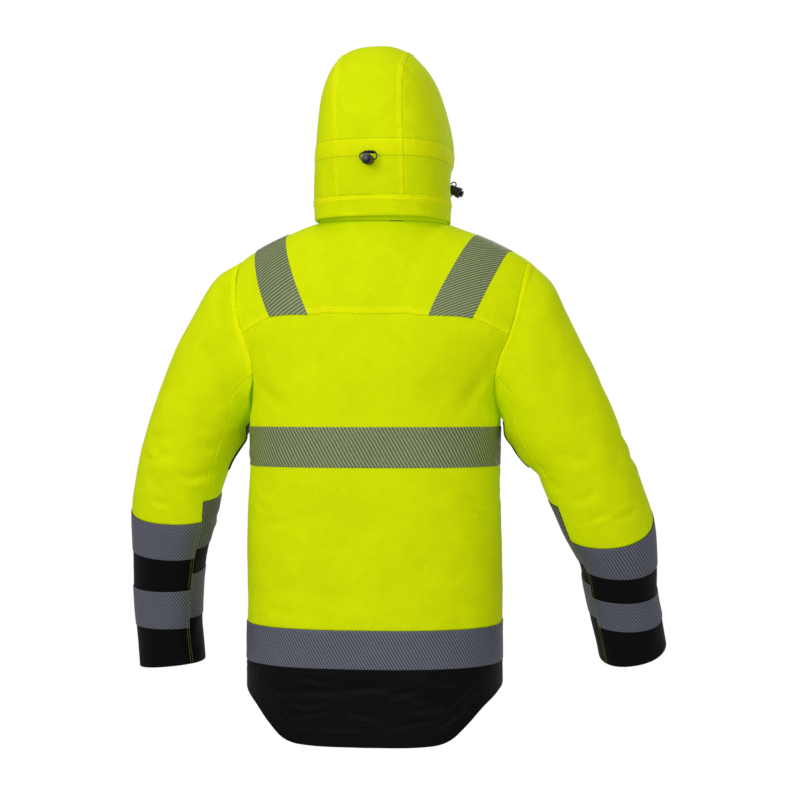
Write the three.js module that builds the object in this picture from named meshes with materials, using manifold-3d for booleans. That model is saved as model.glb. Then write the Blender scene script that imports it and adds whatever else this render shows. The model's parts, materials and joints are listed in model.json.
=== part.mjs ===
// Hooded high-visibility winter work jacket, in the shape it has when it is worn with the hood up.
// Millimetres. The origin is the middle of the neck ring, +X the wearer's right, +Y the way they
// face, +Z up. Each cut piece of cloth is a thin wall, made from a grid of points on its surface.

import * as THREE from 'three';
import Module from 'manifold-3d';
import { mergeVertices } from 'three/addons/utils/BufferGeometryUtils.js';

const wasm = await Module();
wasm.setup();

// Driving dimensions
const CLOTH = 2.0; // wall of the padded outer cloth
const SEAM = 0.3; // gap between neighbouring pieces
const SEAM_SPARE = 0.03; // each edge is drawn in this much more, for the facets
const ARMHOLE_GAP = 0.2; // the sleeve stands this much further out at the armhole
const TAPE = 0.8; // wall of a reflective tape
const LIFT = 0.35; // gap between a tape and the cloth under it
const TAPE_FACE = LIFT + TAPE;
const RING_POWER = 2.5; // squareness of the body's rings
const SLEEVE_POWER = 2.2;
const SHOULDER_ROLL = 2.6; // squareness of the roll over the shoulder
const ARMPIT = -300; // height of the lowest point of the armhole
const YOKE_RISE = 0.515; // share of the way from the armpit to the shoulder
const CHEST = { back: 138, front: 150 }; // half depths at the armpit
const NECK = { width: 98, back: 94, front: 90, side: -4, backHeight: -7, frontHeight: -34 };
const COLLAR = { height: 56, flare: 1.6, seat: 0.5 };
const ZIP = { half: 10.5, chain: 3.2, tapeWall: 1.2, chainWall: 2.4, chainFace: 0.6 };
const TURN = -6; // degrees, the shoulders and the hood are turned this much against the waist
const LEAN = -14; // the waist hangs this far to the wearer's left of the neck
const ROLL = 0.018; // the left shoulder is held higher: rise for each millimetre from the middle
const HOOD_LEAN = -9; // the top of the hood stands this far to the wearer's left
const BAND = { height: 31, bottom: -1, foot: 1.5 };
const HOOD_POWER = 2.7;
const HOOD_FACE_BAND = 1; // rows of the hood's grid that are the band round the face
const HOOD_CENTRE = 3; // columns of the hood's grid on each side of its middle in the centre panel
const DEGREE = Math.PI / 180;
const RIGHT_ANGLE = 90;

// The body's rings below the armpit, from top to hem
const BODY = [
  { z: -300, width: 194, back: 138, front: 150 },
  { z: -316, width: 194, back: 139, front: 150 },
  { z: -376, width: 193, back: 139, front: 149 },
  { z: -436, width: 195.5, back: 139, front: 148 },
  { z: -500, width: 197, back: 140, front: 148 },
  { z: -560, width: 197, back: 141, front: 149 },
  { z: -616, width: 197, back: 142, front: 150 },
  { z: -673, width: 197, back: 141, front: 150 },
  { z: -789, width: 198, back: 138, front: 150 },
];
const WAIST_TAPE = { top: -316, bottom: -376 };
const HEM_TAPE = { top: -616, bottom: -673 };
const BODY_ROWS = [
  WAIST_TAPE.top, WAIST_TAPE.bottom, -424, -472, -520, -568, HEM_TAPE.top, HEM_TAPE.bottom,
];
const TAIL_ROWS = 4;

// The hem edge of the drop tail: how far across the back, and how low
const TAIL = [
  { across: 0, z: -789 },
  { across: 0.5, z: -787 },
  { across: 0.64, z: -779 },
  { across: 0.76, z: -758 },
  { across: 0.87, z: -735 },
  { across: 0.95, z: -722 },
  { across: 1, z: -712 },
];
const FRONT_HEM = -706;

// Rows of the body above the armpit: rise, the armhole's distance from the middle, and the share of
// the ring's depth that is left at the armhole
const ARMHOLE = [
  { rise: 0, x: 194, depth: 0 },
  { rise: 0.14, x: 186, depth: 0.4 },
  { rise: 0.27, x: 185, depth: 0.54 },
  { rise: 0.39, x: 191, depth: 0.61 },
  { rise: 0.515, x: 204, depth: 0.65 },
  { rise: 0.64, x: 214, depth: 0.64 },
  { rise: 0.76, x: 220, depth: 0.6 },
  { rise: 0.87, x: 224, depth: 0.56 },
  { rise: 0.95, x: 226, depth: 0.52 },
  { rise: 1, x: 227, depth: 0.5 },
];

// Columns of the body's grid from the middle to the side: their angle below the armpit in degrees,
// their distance from the middle at the yoke seam and at the shoulder seam, and the rise of the
// yoke seam, which runs level between the shoulder tapes and drops towards the armholes
const COLUMNS = [
  { angle: 0, yoke: 0, shoulder: 0, seam: 0.515 },
  { angle: 6, yoke: 16, shoulder: 37.5, seam: 0.515 },
  { angle: 12, yoke: 33, shoulder: 69.3, seam: 0.515 },
  { angle: 18, yoke: 48, shoulder: 90.5, seam: 0.515 },
  { angle: 24, yoke: 62, shoulder: 98, seam: 0.516 },
  { angle: 30, yoke: 75, shoulder: 123, seam: 0.522 },
  { angle: 36, yoke: 88, shoulder: 148, seam: 0.538 },
  { angle: 43, yoke: 107.7, shoulder: 165, seam: 0.554 },
  { angle: 51, yoke: 127.3, shoulder: 182, seam: 0.568 },
  { angle: 60, yoke: 147, shoulder: 199, seam: 0.578 },
  { angle: 74, yoke: 176, shoulder: 213, seam: 0.55 },
  { angle: 90, yoke: 204, shoulder: 227, seam: 0.515 },
];
const NECK_COLUMN = 4; // the side of the neck
const TAPE_COLUMNS = { inner: 6, outer: 9 }; // the edges of the shoulder tape

// The line of the shoulder, seen from behind
const SHOULDER = [
  { x: 0, z: 4 },
  { x: 60, z: 2 },
  { x: 98, z: -4 },
  { x: 138, z: -18 },
  { x: 165, z: -29 },
  { x: 190, z: -41 },
  { x: 210, z: -52 },
  { x: 227, z: -63 },
];

// Sleeve rings from the cap to the cuff. The outer and inner point of each ring are given as
// distance from the neck's middle and height; y is the ring's middle, half its half depth, drop
// how far its back hangs lower than its middle, and rows the grid rows from the ring before.
const SLEEVES = {
  left: [
    { rows: 1, outer: 261, outerZ: -82, inner: 218, innerZ: -316, y: 8, half: 90, drop: 0 },
    { rows: 1, outer: 298, outerZ: -143, inner: 221, innerZ: -337, y: 9, half: 90, drop: 0 },
    { rows: 2, outer: 328.5, outerZ: -198, inner: 231, innerZ: -352, y: 8, half: 88, drop: 2 },
    { rows: 2, outer: 358, outerZ: -272, inner: 243, innerZ: -371, y: 6, half: 84, drop: 4 },
    { rows: 2, outer: 378, outerZ: -340, inner: 254, innerZ: -402, y: 3, half: 79, drop: 9 },
    { rows: 1, outer: 393, outerZ: -402, inner: 260, innerZ: -426, y: 2, half: 73, drop: 14 },
    { rows: 1, outer: 398.5, outerZ: -443, inner: 264, innerZ: -452, y: 3, half: 67, drop: 20 },
    { rows: 4, outer: 398, outerZ: -505, inner: 282, innerZ: -513, y: 14, half: 60, drop: 14 },
    { rows: 2, outer: 399.5, outerZ: -566, inner: 292, innerZ: -568, y: 28, half: 55, drop: 8 },
    { rows: 4, outer: 400, outerZ: -629, inner: 297, innerZ: -631, y: 40, half: 52, drop: 5 },
    { rows: 2, outer: 399, outerZ: -699, inner: 294, innerZ: -690, y: 52, half: 50, drop: 2 },
  ],
  right: [
    { rows: 1, outer: 259, outerZ: -97, inner: 186, innerZ: -310, y: -8, half: 90, drop: 0 },
    { rows: 1, outer: 283, outerZ: -146, inner: 190, innerZ: -331, y: -9, half: 90, drop: 0 },
    { rows: 2, outer: 310, outerZ: -199, inner: 199, innerZ: -349, y: -8, half: 88, drop: 2 },
    { rows: 2, outer: 340, outerZ: -262, inner: 216, innerZ: -369, y: -9, half: 84, drop: 5 },
    { rows: 2, outer: 367, outerZ: -328, inner: 236, innerZ: -388, y: -5, half: 80, drop: 11 },
    { rows: 1, outer: 394, outerZ: -396, inner: 254, innerZ: -424, y: 0, half: 74, drop: 24 },
    { rows: 1, outer: 413, outerZ: -457, inner: 274, innerZ: -465, y: 8, half: 68, drop: 38 },
    { rows: 4, outer: 419, outerZ: -525, inner: 300, innerZ: -524, y: 26, half: 61, drop: 23 },
    { rows: 2, outer: 421, outerZ: -569, inner: 308, innerZ: -567, y: 40, half: 57, drop: 18 },
    { rows: 4, outer: 429, outerZ: -613, inner: 318, innerZ: -612, y: 56, half: 53, drop: 19 },
    { rows: 2, outer: 437, outerZ: -657, inner: 332, innerZ: -673, y: 74, half: 50, drop: 22 },
  ],
};
const BORDER_RING = 6; // the ring where yellow meets black
const TAPE_RINGS = [
  { name: 'upper', top: 6, bottom: 7 },
  { name: 'lower', top: 8, bottom: 9 },
];
const BACK_SEAM = 7; // column of the sleeve's grid at its back seam, and at its front seam
const FRONT_SEAM = 11;
const UNDER_STEP = 1; // rows by which the tapes of the under sleeve sit higher
const VENT = { left: [9.1, 9.5, 9.95], right: [8.7, 9, 9.6], firstRow: 1, lastRow: 7, wall: 1.2 };

// Spine of the hood from the face edge over the crown to the back of the neck, the half width of
// its arch there, and where the arch stands on the base band, in degrees from the back
const HOOD = [
  { y: 116, z: 246, width: 96, foot: 146 },
  { y: 88, z: 259, width: 100, foot: 140 },
  { y: 45, z: 270, width: 103, foot: 132 },
  { y: 0, z: 272, width: 104, foot: 124 },
  { y: -42, z: 262, width: 104, foot: 117 },
  { y: -78, z: 236, width: 104, foot: 111 },
  { y: -102, z: 198, width: 104, foot: 106 },
  { y: -116, z: 155, width: 104, foot: 102 },
  { y: -120, z: 112, width: 104, foot: 99 },
  { y: -117, z: 70, width: 104, foot: 97 },
  { y: -110, z: 30, width: 104, foot: 95 },
];
const HOOD_ROWS = 12;
const HOOD_COLUMNS = 22;
const HOOD_FOOT = { width: 104, back: 110, front: 100 };

// Soft folds pressed into the cloth: where their middle is, half length and half width, depth
// inwards, and the turn of their length against the level, in degrees
const BODY_FOLDS = [
  { x: -150, z: -268, long: 46, wide: 13, deep: 5, turn: -38, side: 'back' },
  { x: 158, z: -262, long: 50, wide: 15, deep: 6, turn: 62, side: 'back' },
  { x: -60, z: -705, long: 95, wide: 11, deep: 2.5, turn: 4, side: 'back' },
  { x: 95, z: -722, long: 60, wide: 12, deep: 2.5, turn: -24, side: 'back' },
  { x: -130, z: -560, long: 60, wide: 16, deep: 2.5, turn: 20, side: 'back' },
  { x: 150, z: -250, long: 46, wide: 14, deep: 5, turn: -60, side: 'front' },
  { x: -150, z: -255, long: 46, wide: 14, deep: 5, turn: 60, side: 'front' },
  { x: 70, z: -450, long: 70, wide: 18, deep: 3, turn: 15, side: 'front' },
];

const FOLD_FREE = 60; // folds fade out this near to the side seam

// Hardware
const CORD = 2.0; // diameter of the drawcord
const CORD_SIDES = 8;
const CORD_STEPS = 12;
const LOCK = { radius: 8.6, length: 19, bore: 7, clearance: 0.35, segments: 12 };
const BUTTON = { radius: 5, length: 4, gap: 0.3 };
const SLIDER = { width: 12, length: 15, wall: 3.4, corner: 3, gap: 0.3, below: 15 };
const BRIDGE = { width: 3, length: 10, height: 5, wall: 1.5 };
const TAB = { width: 9, length: 36, wall: 1.8, bar: 1.8, hole: 7.4, corner: 2, axisHeight: 1.9 };
const BACK_LOCK = { x: 4, z: 80, slot: 7, slotRise: 11, bow: 13, seat: 0.6 };
const SIDE_LOCK = { share: 0.035, upper: 66, lower: 47, reach: 15, tilt: -25 };
const SIDE_SEAT = { left: 1, right: 2.5 }; // the cord's ends stand off the cloth's facets

// Materials
function finish(color, roughness, metalness = 0) {
  return new THREE.MeshStandardMaterial({ color, roughness, metalness });
}
const YELLOW = finish(0xd0e400, 0.7);
const BLACK = finish(0x101012, 0.8);
const TAPE_ON_YELLOW = finish(0x7d8c7a, 0.45);
const TAPE_ON_BLACK = finish(0x7b7f8c, 0.45);
const HARDWARE = finish(0x0c0c0d, 0.4);
const METAL = finish(0x8a8c90, 0.35, 1);
const ZIP_BLACK = finish(0x141416, 0.6);

const vec = (x, y, z) => new THREE.Vector3(x, y, z);
const clamp = THREE.MathUtils.clamp;
const lerp = THREE.MathUtils.lerp;
const smooth = (t) => THREE.MathUtils.smoothstep(t, 0, 1);
const power = (value, exponent) => Math.sign(value) * Math.abs(value) ** exponent;
const steps = (count) => Array.from({ length: count + 1 }, (_, i) => i);

// Value of one column of a table, smooth between its rows; the key column rises or falls throughout
function read(table, key, value, column) {
  const falls = table[0][key] > table[table.length - 1][key];
  const at = (i) => (falls ? -table[i][key] : table[i][key]);
  const v = clamp(falls ? -value : value, at(0), at(table.length - 1));
  let i = 0;
  while (i < table.length - 2 && v > at(i + 1)) i += 1;
  const slope = (j) => {
    const a = Math.max(j - 1, 0);
    const b = Math.min(j + 1, table.length - 1);
    return (table[b][column] - table[a][column]) / (at(b) - at(a));
  };
  const span = at(i + 1) - at(i);
  const t = (v - at(i)) / span;
  const left = table[i][column];
  const right = table[i + 1][column];
  const h = t * t * (3 - 2 * t);
  const bow = slope(i) * span * t * (1 - t) ** 2 - slope(i + 1) * span * t * t * (1 - t);
  return left + (right - left) * h + bow;
}

// The way the worn jacket is turned and leans, the same for all of its body
function posed(p) {
  const turn = TURN * DEGREE * smooth((p.z - ARMPIT) / 200);
  const lean = LEAN * smooth((-170 - p.z) / 130);
  const roll = ROLL * p.x * smooth((p.z - ARMPIT) / 200);
  const x = p.x * Math.cos(turn) - p.y * Math.sin(turn);
  const y = p.x * Math.sin(turn) + p.y * Math.cos(turn);
  return vec(x + lean, y, p.z - roll);
}

// How far the folds press a point of the body in
function foldDepth(x, y, z, side) {
  let depth = 0;
  const away = clamp(y / FOLD_FREE, 0, 1); // no fold crosses the side seam
  for (const fold of BODY_FOLDS) {
    if (fold.side !== side) continue;
    const c = Math.cos(fold.turn * DEGREE);
    const s = Math.sin(fold.turn * DEGREE);
    const along = ((x - fold.x) * c + (z - fold.z) * s) / fold.long;
    const across = ((z - fold.z) * c - (x - fold.x) * s) / fold.wide;
    depth += away * fold.deep * Math.exp(-2 * (along * along + across * across));
  }
  return depth;
}

// Angle across the body, 0 in the middle and 90 at the side, at which a ring reaches a distance
function angleAt(distance, width) {
  return Math.asin(clamp((distance / width) ** (RING_POWER / 2), 0, 1));
}

// The ring of the body at a rise above the armpit: its half width, and the angle of its armhole
function ringAt(rise) {
  const depth = clamp(read(ARMHOLE, 'rise', rise, 'depth'), 0, 1);
  const end = Math.acos(depth ** (RING_POWER / 2));
  return { end, width: read(ARMHOLE, 'rise', rise, 'x') / Math.sin(end) ** (2 / RING_POWER) };
}

// Angle of a column of the grid at a rise, so that the shoulder tape follows whole columns
function columnAngle(column, rise) {
  const ring = ringAt(rise);
  const row = COLUMNS[column];
  const level = (row.angle / RIGHT_ANGLE) * ring.end;
  const share = (distance, at) => {
    const { width, end } = ringAt(at);
    return angleAt(distance, width) / end;
  };
  const yoke = share(row.yoke, YOKE_RISE);
  const shoulder = share(row.shoulder, 1);
  const upper = lerp(yoke, shoulder, clamp((rise - YOKE_RISE) / (1 - YOKE_RISE), 0, 1));
  const t = smooth(rise / YOKE_RISE);
  return rise < YOKE_RISE ? lerp(level, yoke * ring.end, t) : upper * ring.end;
}

// The rise of a row of the grid at a column, so that the yoke seam follows a row
function seamRise(column, rise) {
  const shift = COLUMNS[column].seam - YOKE_RISE;
  const near = rise < YOKE_RISE ? rise / YOKE_RISE : (1 - rise) / (1 - YOKE_RISE);
  return rise + shift * smooth(near);
}

// A point of the body between the armpit and the shoulder or the neck
function chestPoint(side, column, mirror, level) {
  const half = side === 'back' ? CHEST.back : CHEST.front;
  const rise = seamRise(column, level);
  const ring = ringAt(rise);
  const middle = side === 'front' && column === 0;
  const angle = middle ? angleAt(ZIP.half, ring.width) : columnAngle(column, rise);
  const depth = half * Math.cos(angle) ** (2 / RING_POWER);
  const x = ring.width * Math.sin(angle) ** (2 / RING_POWER);
  let edge = 1; // share of the roll that the column reaches
  let top = read(SHOULDER, 'x', COLUMNS[column].shoulder, 'z');
  if (column < NECK_COLUMN) {
    const across = Math.asin((middle ? ZIP.half : COLUMNS[column].shoulder) / NECK.width);
    const neckDepth = (side === 'back' ? NECK.back : NECK.front) * Math.cos(across);
    const drop = side === 'back' ? NECK.backHeight : NECK.frontHeight;
    const topRing = ringAt(1);
    const topAngle = angleAt(COLUMNS[column].shoulder, topRing.width);
    const topDepth = half * Math.cos(topAngle) ** (2 / RING_POWER);
    edge = (1 - (neckDepth / topDepth) ** SHOULDER_ROLL) ** (1 / SHOULDER_ROLL);
    top = lerp(NECK.side, drop, Math.cos(across) ** 1.5);
  }
  const left = (1 - (rise * edge) ** SHOULDER_ROLL) ** (1 / SHOULDER_ROLL);
  const z = lerp(ARMPIT, top, rise);
  const full = depth * left;
  const y = full - foldDepth(x * mirror, full, z, side);
  return posed(vec(x * mirror, side === 'back' ? -y : y, z));
}

// Lowest height of a column of the body, at the hem
function hemHeight(side, angle) {
  const across = Math.sin(angle) ** (2 / RING_POWER);
  const end = TAIL[TAIL.length - 1].z;
  return side === 'back' ? read(TAIL, 'across', across, 'z') : lerp(FRONT_HEM, end, across ** 2);
}

// A point of the body below the armpit
function torsoPoint(side, column, mirror, z) {
  const width = read(BODY, 'z', z, 'width');
  const depth = read(BODY, 'z', z, side);
  const middle = side === 'front' && column === 0;
  const angle = middle ? angleAt(ZIP.half, width) : COLUMNS[column].angle * DEGREE;
  const x = width * Math.sin(angle) ** (2 / RING_POWER) * mirror;
  const y = depth * Math.max(Math.cos(angle), 0) ** (2 / RING_POWER);
  const pressed = y - foldDepth(x, y, z, side);
  return posed(vec(x, side === 'back' ? -pressed : pressed, z));
}

// One column of the body from the hem up to the shoulder seam
function bodyColumn(side, column, mirror) {
  const hem = hemHeight(side, COLUMNS[column].angle * DEGREE);
  const tail = steps(TAIL_ROWS - 1).map((i) => lerp(hem, HEM_TAPE.bottom, i / TAIL_ROWS));
  const levels = [...tail, ...BODY_ROWS.slice().reverse()];
  const lower = levels.map((z) => torsoPoint(side, column, mirror, z));
  return [...lower, ...ARMHOLE.map((row) => chestPoint(side, column, mirror, row.rise))];
}

// A grid holds rows of points; flip says that its rows run so that its faces would point in
function gridFromColumns(columns, flip = false) {
  return { points: columns[0].map((_, row) => columns.map((c) => c[row])), flip };
}

const SIDE = COLUMNS.length - 1;
const HEM_ROW = 0;
const rowAt = (z) => TAIL_ROWS + BODY_ROWS.length - 1 - BODY_ROWS.indexOf(z);
const TAPE_ROWS = {
  hemBottom: rowAt(HEM_TAPE.bottom),
  hemTop: rowAt(HEM_TAPE.top),
  waistBottom: rowAt(WAIST_TAPE.bottom),
  waistTop: rowAt(WAIST_TAPE.top),
};
const ARMPIT_ROW = TAIL_ROWS + BODY_ROWS.length;
const YOKE_ROW = ARMPIT_ROW + ARMHOLE.findIndex((row) => row.rise === YOKE_RISE);
const TOP_ROW = ARMPIT_ROW + ARMHOLE.length - 1;

function bodyGrids() {
  const out = steps(SIDE);
  const inwards = out.slice().reverse();
  const back = [
    ...inwards.map((c) => bodyColumn('back', c, -1)),
    ...out.slice(1).map((c) => bodyColumn('back', c, 1)),
  ];
  return {
    back: gridFromColumns(back),
    right: gridFromColumns(inwards.map((c) => bodyColumn('front', c, 1))),
    left: gridFromColumns(out.map((c) => bodyColumn('front', c, -1))),
  };
}

// The armhole as a loop of points: from the shoulder down the back, under the arm, up the front
function armholeLoop(body, mirror) {
  const backColumn = mirror < 0 ? 0 : 2 * SIDE;
  const front = mirror < 0 ? body.left : body.right;
  const frontColumn = mirror < 0 ? SIDE : 0;
  const rows = steps(ARMHOLE.length - 1).map((i) => ARMPIT_ROW + i);
  const down = rows.slice().reverse().map((r) => body.back.points[r][backColumn]);
  const up = rows.slice(1).map((r) => front.points[r][frontColumn]);
  return [...down, ...up];
}

// A ring of the sleeve, with its columns at the given shares of the way round
function sleeveRing(ring, mirror, shares) {
  return shares.map((share) => {
    const angle = share * 2 * Math.PI;
    const across = power(Math.cos(angle), 2 / SLEEVE_POWER);
    const back = power(Math.sin(angle), 2 / SLEEVE_POWER);
    const x = lerp(ring.inner, ring.outer, (1 + across) / 2);
    const z = lerp(ring.innerZ, ring.outerZ, (1 + across) / 2) - ring.drop * back;
    return vec(x * mirror, ring.y - ring.half * back, z);
  });
}

// The sleeve's grid: from the armhole through its rings, smooth along each column
function sleeveGrid(body, name, mirror) {
  const loop = armholeLoop(body, mirror);
  const count = loop.length - 1;
  const along = [0];
  loop.slice(1).forEach((p, i) => along.push(along[i] + p.distanceTo(loop[i])));
  const rings = SLEEVES[name].map((ring, i) => {
    const even = Math.min((i + 1) / 4, 1);
    const shares = along.map((a, j) => lerp(a / along[count], j / count, even));
    return sleeveRing(ring, mirror, shares);
  });
  const columns = steps(count).map((j) => {
    const line = new THREE.CatmullRomCurve3(
      [loop[j], ...rings.map((ring) => ring[j])], false, 'centripetal',
    );
    const points = [loop[j].clone().add(vec(ARMHOLE_GAP * mirror, 0, 0))];
    SLEEVES[name].forEach((ring, i) => {
      for (let k = 1; k <= ring.rows; k += 1) {
        points.push(line.getPoint((i + k / ring.rows) / rings.length));
      }
    });
    return points;
  });
  return gridFromColumns(columns, mirror < 0);
}

function ringRow(name, ring) {
  return SLEEVES[name].slice(0, ring + 1).reduce((sum, row) => sum + row.rows, 0);
}

// The base band's upper edge in level plan, at an angle from the back
function hoodFoot(angle, z) {
  const c = Math.cos(angle * DEGREE);
  const s = Math.sin(angle * DEGREE);
  const y = c > 0 ? -HOOD_FOOT.back * c : -HOOD_FOOT.front * c;
  return vec(HOOD_FOOT.width * power(s, 0.9), y, z);
}

function hoodTurned(p) {
  const turn = TURN * DEGREE;
  const lean = HOOD_LEAN * smooth((p.z - 90) / 180);
  const x = p.x * Math.cos(turn) - p.y * Math.sin(turn);
  return vec(x + lean, p.x * Math.sin(turn) + p.y * Math.cos(turn), p.z);
}

// One arch of the hood, from its left foot over the head or round the back to its right foot
function hoodArch(share) {
  const spine = HOOD.map((row, i) => ({ share: i / (HOOD.length - 1), ...row }));
  const value = (column) => read(spine, 'share', share, column);
  const foot = hoodFoot(value('foot'), BAND.bottom + BAND.height);
  return steps(HOOD_COLUMNS).map((i) => {
    const angle = (i / HOOD_COLUMNS - 0.5) * Math.PI;
    const rise = Math.max(Math.cos(angle), 0) ** (2 / HOOD_POWER);
    const narrowing = (value('width') - foot.x) * Math.max(0, 1 - rise / 0.45) ** 2;
    const wide = value('width') * Math.abs(Math.sin(angle)) ** (2 / HOOD_POWER) - narrowing;
    const x = Math.sign(angle) * wide;
    return vec(x, lerp(foot.y, value('y'), rise), lerp(foot.z, value('z'), rise));
  });
}

function hoodGrids() {
  const arches = steps(HOOD_ROWS).map((i) => hoodArch(i / HOOD_ROWS));
  const last = arches[HOOD_ROWS];
  const leftFeet = arches.slice(0, HOOD_ROWS).map((arch) => arch[0]);
  const rightFeet = arches.slice(0, HOOD_ROWS).map((arch) => arch[HOOD_COLUMNS]).reverse();
  const top = [...leftFeet, ...last, ...rightFeet];
  const bottom = top.map((p) => {
    const out = vec(p.x, p.y, 0).normalize();
    const lift = p.y > 0 ? -16 * smooth(p.y / HOOD_FOOT.front) : 0;
    return vec(p.x - out.x * BAND.foot, p.y - out.y * BAND.foot, BAND.bottom + lift);
  });
  const upper = top.map((p) => p.clone().setZ(p.z - SEAM));
  const middle = upper.map((p, i) => p.clone().lerp(bottom[i], 0.5));
  const turned = (row) => row.map(hoodTurned);
  return {
    shell: { points: arches.map(turned), flip: true },
    band: { points: [bottom, middle, upper].map(turned), flip: false },
  };
}

// The stand collar, from the left side of the zip round the back to its right side
function collarGrid(body) {
  const leftFront = body.left.points[TOP_ROW].slice(0, NECK_COLUMN + 1);
  const back = body.back.points[TOP_ROW].slice(SIDE - NECK_COLUMN, SIDE + NECK_COLUMN + 1);
  const rightFront = body.right.points[TOP_ROW].slice(SIDE - NECK_COLUMN);
  const foot = [...leftFront, ...back.slice(1), ...rightFront.slice(1)];
  const rows = steps(3).map((i) => foot.map((p) => {
    const rise = i / 3;
    const out = vec(p.x, p.y, 0).normalize().multiplyScalar(COLLAR.flare * Math.min(1, 2 * rise));
    return vec(p.x + out.x, p.y + out.y, p.z + COLLAR.seat + COLLAR.height * rise);
  }));
  return { points: rows, flip: false };
}

// The strip between the two fronts, from the hem to the top of the collar: tape, chain, tape
function zipGrid(fronts, neck) {
  const rightEdge = fronts.right.points.map((row) => row[SIDE]);
  const leftEdge = fronts.left.points.map((row) => row[0]);
  neck.points.slice(1).forEach((row) => {
    leftEdge.push(row[0]);
    rightEdge.push(row[row.length - 1]);
  });
  const chain = ZIP.chain / (2 * ZIP.half);
  const shares = [0, 0.5 - chain, 0.5 + chain, 1];
  const points = rightEdge.map((right, r) => (
    shares.map((share) => right.clone().lerp(leftEdge[r], share))
  ));
  return { points, flip: false };
}

// Normals are averaged where grids meet, so that the walls of neighbouring pieces stay parallel
const pool = new Map();
const keyOf = (p) => [p.x, p.y, p.z].map((v) => Math.round(v * 100) + 0).join(' ');

function addToPool(grid) {
  const add = (p, normal) => {
    const key = keyOf(p);
    if (!pool.has(key)) pool.set(key, vec(0, 0, 0));
    pool.get(key).add(normal);
  };
  for (let r = 0; r + 1 < grid.points.length; r += 1) {
    for (let c = 0; c + 1 < grid.points[0].length; c += 1) {
      const corners = [[r, c], [r, c + 1], [r + 1, c + 1], [r + 1, c]];
      const [a, b, d, e] = corners.map(([i, j]) => grid.points[i][j]);
      const normal = vec(0, 0, 0).crossVectors(d.clone().sub(a), e.clone().sub(b));
      normal.multiplyScalar(grid.flip ? -1 : 1);
      [a, b, d, e].forEach((p) => add(p, normal));
    }
  }
}

const normalOf = (p) => pool.get(keyOf(p)).clone().normalize();

// Closed mesh of a wall between an outer and an inner sheet of points
function wallGeometry(outer, inner, flip) {
  const rows = outer.length;
  const columns = outer[0].length;
  const positions = [];
  [outer, inner].forEach((sheet) => sheet.forEach((row) => row.forEach((p) => {
    positions.push(p.x, p.y, p.z);
  })));
  const faces = [];
  const out = (r, c) => r * columns + c;
  const inn = (r, c) => rows * columns + r * columns + c;
  const quad = (a, b, c, d) => {
    faces.push(...(flip ? [a, c, b, a, d, c] : [a, b, c, a, c, d]));
  };
  for (let r = 0; r + 1 < rows; r += 1) {
    for (let c = 0; c + 1 < columns; c += 1) {
      quad(out(r, c), out(r, c + 1), out(r + 1, c + 1), out(r + 1, c));
      quad(inn(r, c), inn(r + 1, c), inn(r + 1, c + 1), inn(r, c + 1));
    }
    quad(out(r, 0), out(r + 1, 0), inn(r + 1, 0), inn(r, 0));
    const last = columns - 1;
    quad(out(r, last), inn(r, last), inn(r + 1, last), out(r + 1, last));
  }
  for (let c = 0; c + 1 < columns; c += 1) {
    quad(out(0, c + 1), out(0, c), inn(0, c), inn(0, c + 1));
    const last = rows - 1;
    quad(out(last, c + 1), inn(last, c + 1), inn(last, c), out(last, c));
  }
  const geometry = new THREE.BufferGeometry();
  geometry.setAttribute('position', new THREE.Float32BufferAttribute(positions, 3));
  geometry.setIndex(faces);
  return geometry;
}

// Each edge of a sheet is drawn in by half a seam, along the cloth and square to the edge. Returns
// the moves, so that both faces of a wall take the same ones.
function edgeMoves(sheet, normals, distance) {
  const rows = sheet.length;
  const columns = sheet[0].length;
  const moves = sheet.map((row) => row.map(() => vec(0, 0, 0)));
  const push = (r, c, before, after, inside) => {
    const along = after.clone().sub(before);
    const across = along.cross(normals[r][c]).normalize();
    const toInside = inside.clone().sub(sheet[r][c]);
    moves[r][c].addScaledVector(across, across.dot(toInside) < 0 ? -distance : distance);
  };
  for (let r = 0; r < rows; r += 1) {
    const low = Math.max(r - 1, 0);
    const high = Math.min(r + 1, rows - 1);
    push(r, 0, sheet[low][0], sheet[high][0], sheet[r][1]);
    const last = columns - 1;
    push(r, last, sheet[low][last], sheet[high][last], sheet[r][last - 1]);
  }
  for (let c = 0; c < columns; c += 1) {
    const low = Math.max(c - 1, 0);
    const high = Math.min(c + 1, columns - 1);
    push(0, c, sheet[0][low], sheet[0][high], sheet[1][c]);
    const last = rows - 1;
    push(last, c, sheet[last][low], sheet[last][high], sheet[last - 1][c]);
  }
  return moves;
}

const jacket = new THREE.Group();

function addMesh(name, geometry, material) {
  const mesh = new THREE.Mesh(geometry, material);
  mesh.name = name;
  jacket.add(mesh);
  return mesh;
}

// A piece of cloth from part of a grid; face is how far its outer side stands off the surface
function addPiece(name, grid, rows, columns, material, wall = CLOTH, face = 0) {
  const kept = grid.points.slice(rows[0], rows[1] + 1);
  const cut = kept.map((row) => row.slice(columns[0], columns[1] + 1));
  addSheet(name, cut, grid.flip, material, wall, face);
}

function addSheet(name, cut, flip, material, wall, face, normals = null) {
  const normal = normals ?? cut.map((row) => row.map(normalOf));
  const moves = edgeMoves(cut, normal, SEAM / 2 + SEAM_SPARE);
  const moved = (distance) => cut.map((row, r) => row.map((p, c) => (
    p.clone().addScaledVector(normal[r][c], distance).add(moves[r][c])
  )));
  addMesh(name, wallGeometry(moved(face), moved(face - wall), flip), material);
}

// Point of a grid between its columns, on the flat facet there
function between(row, column) {
  const c = Math.min(Math.floor(column), row.length - 2);
  return row[c].clone().lerp(row[c + 1], column - c);
}

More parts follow.
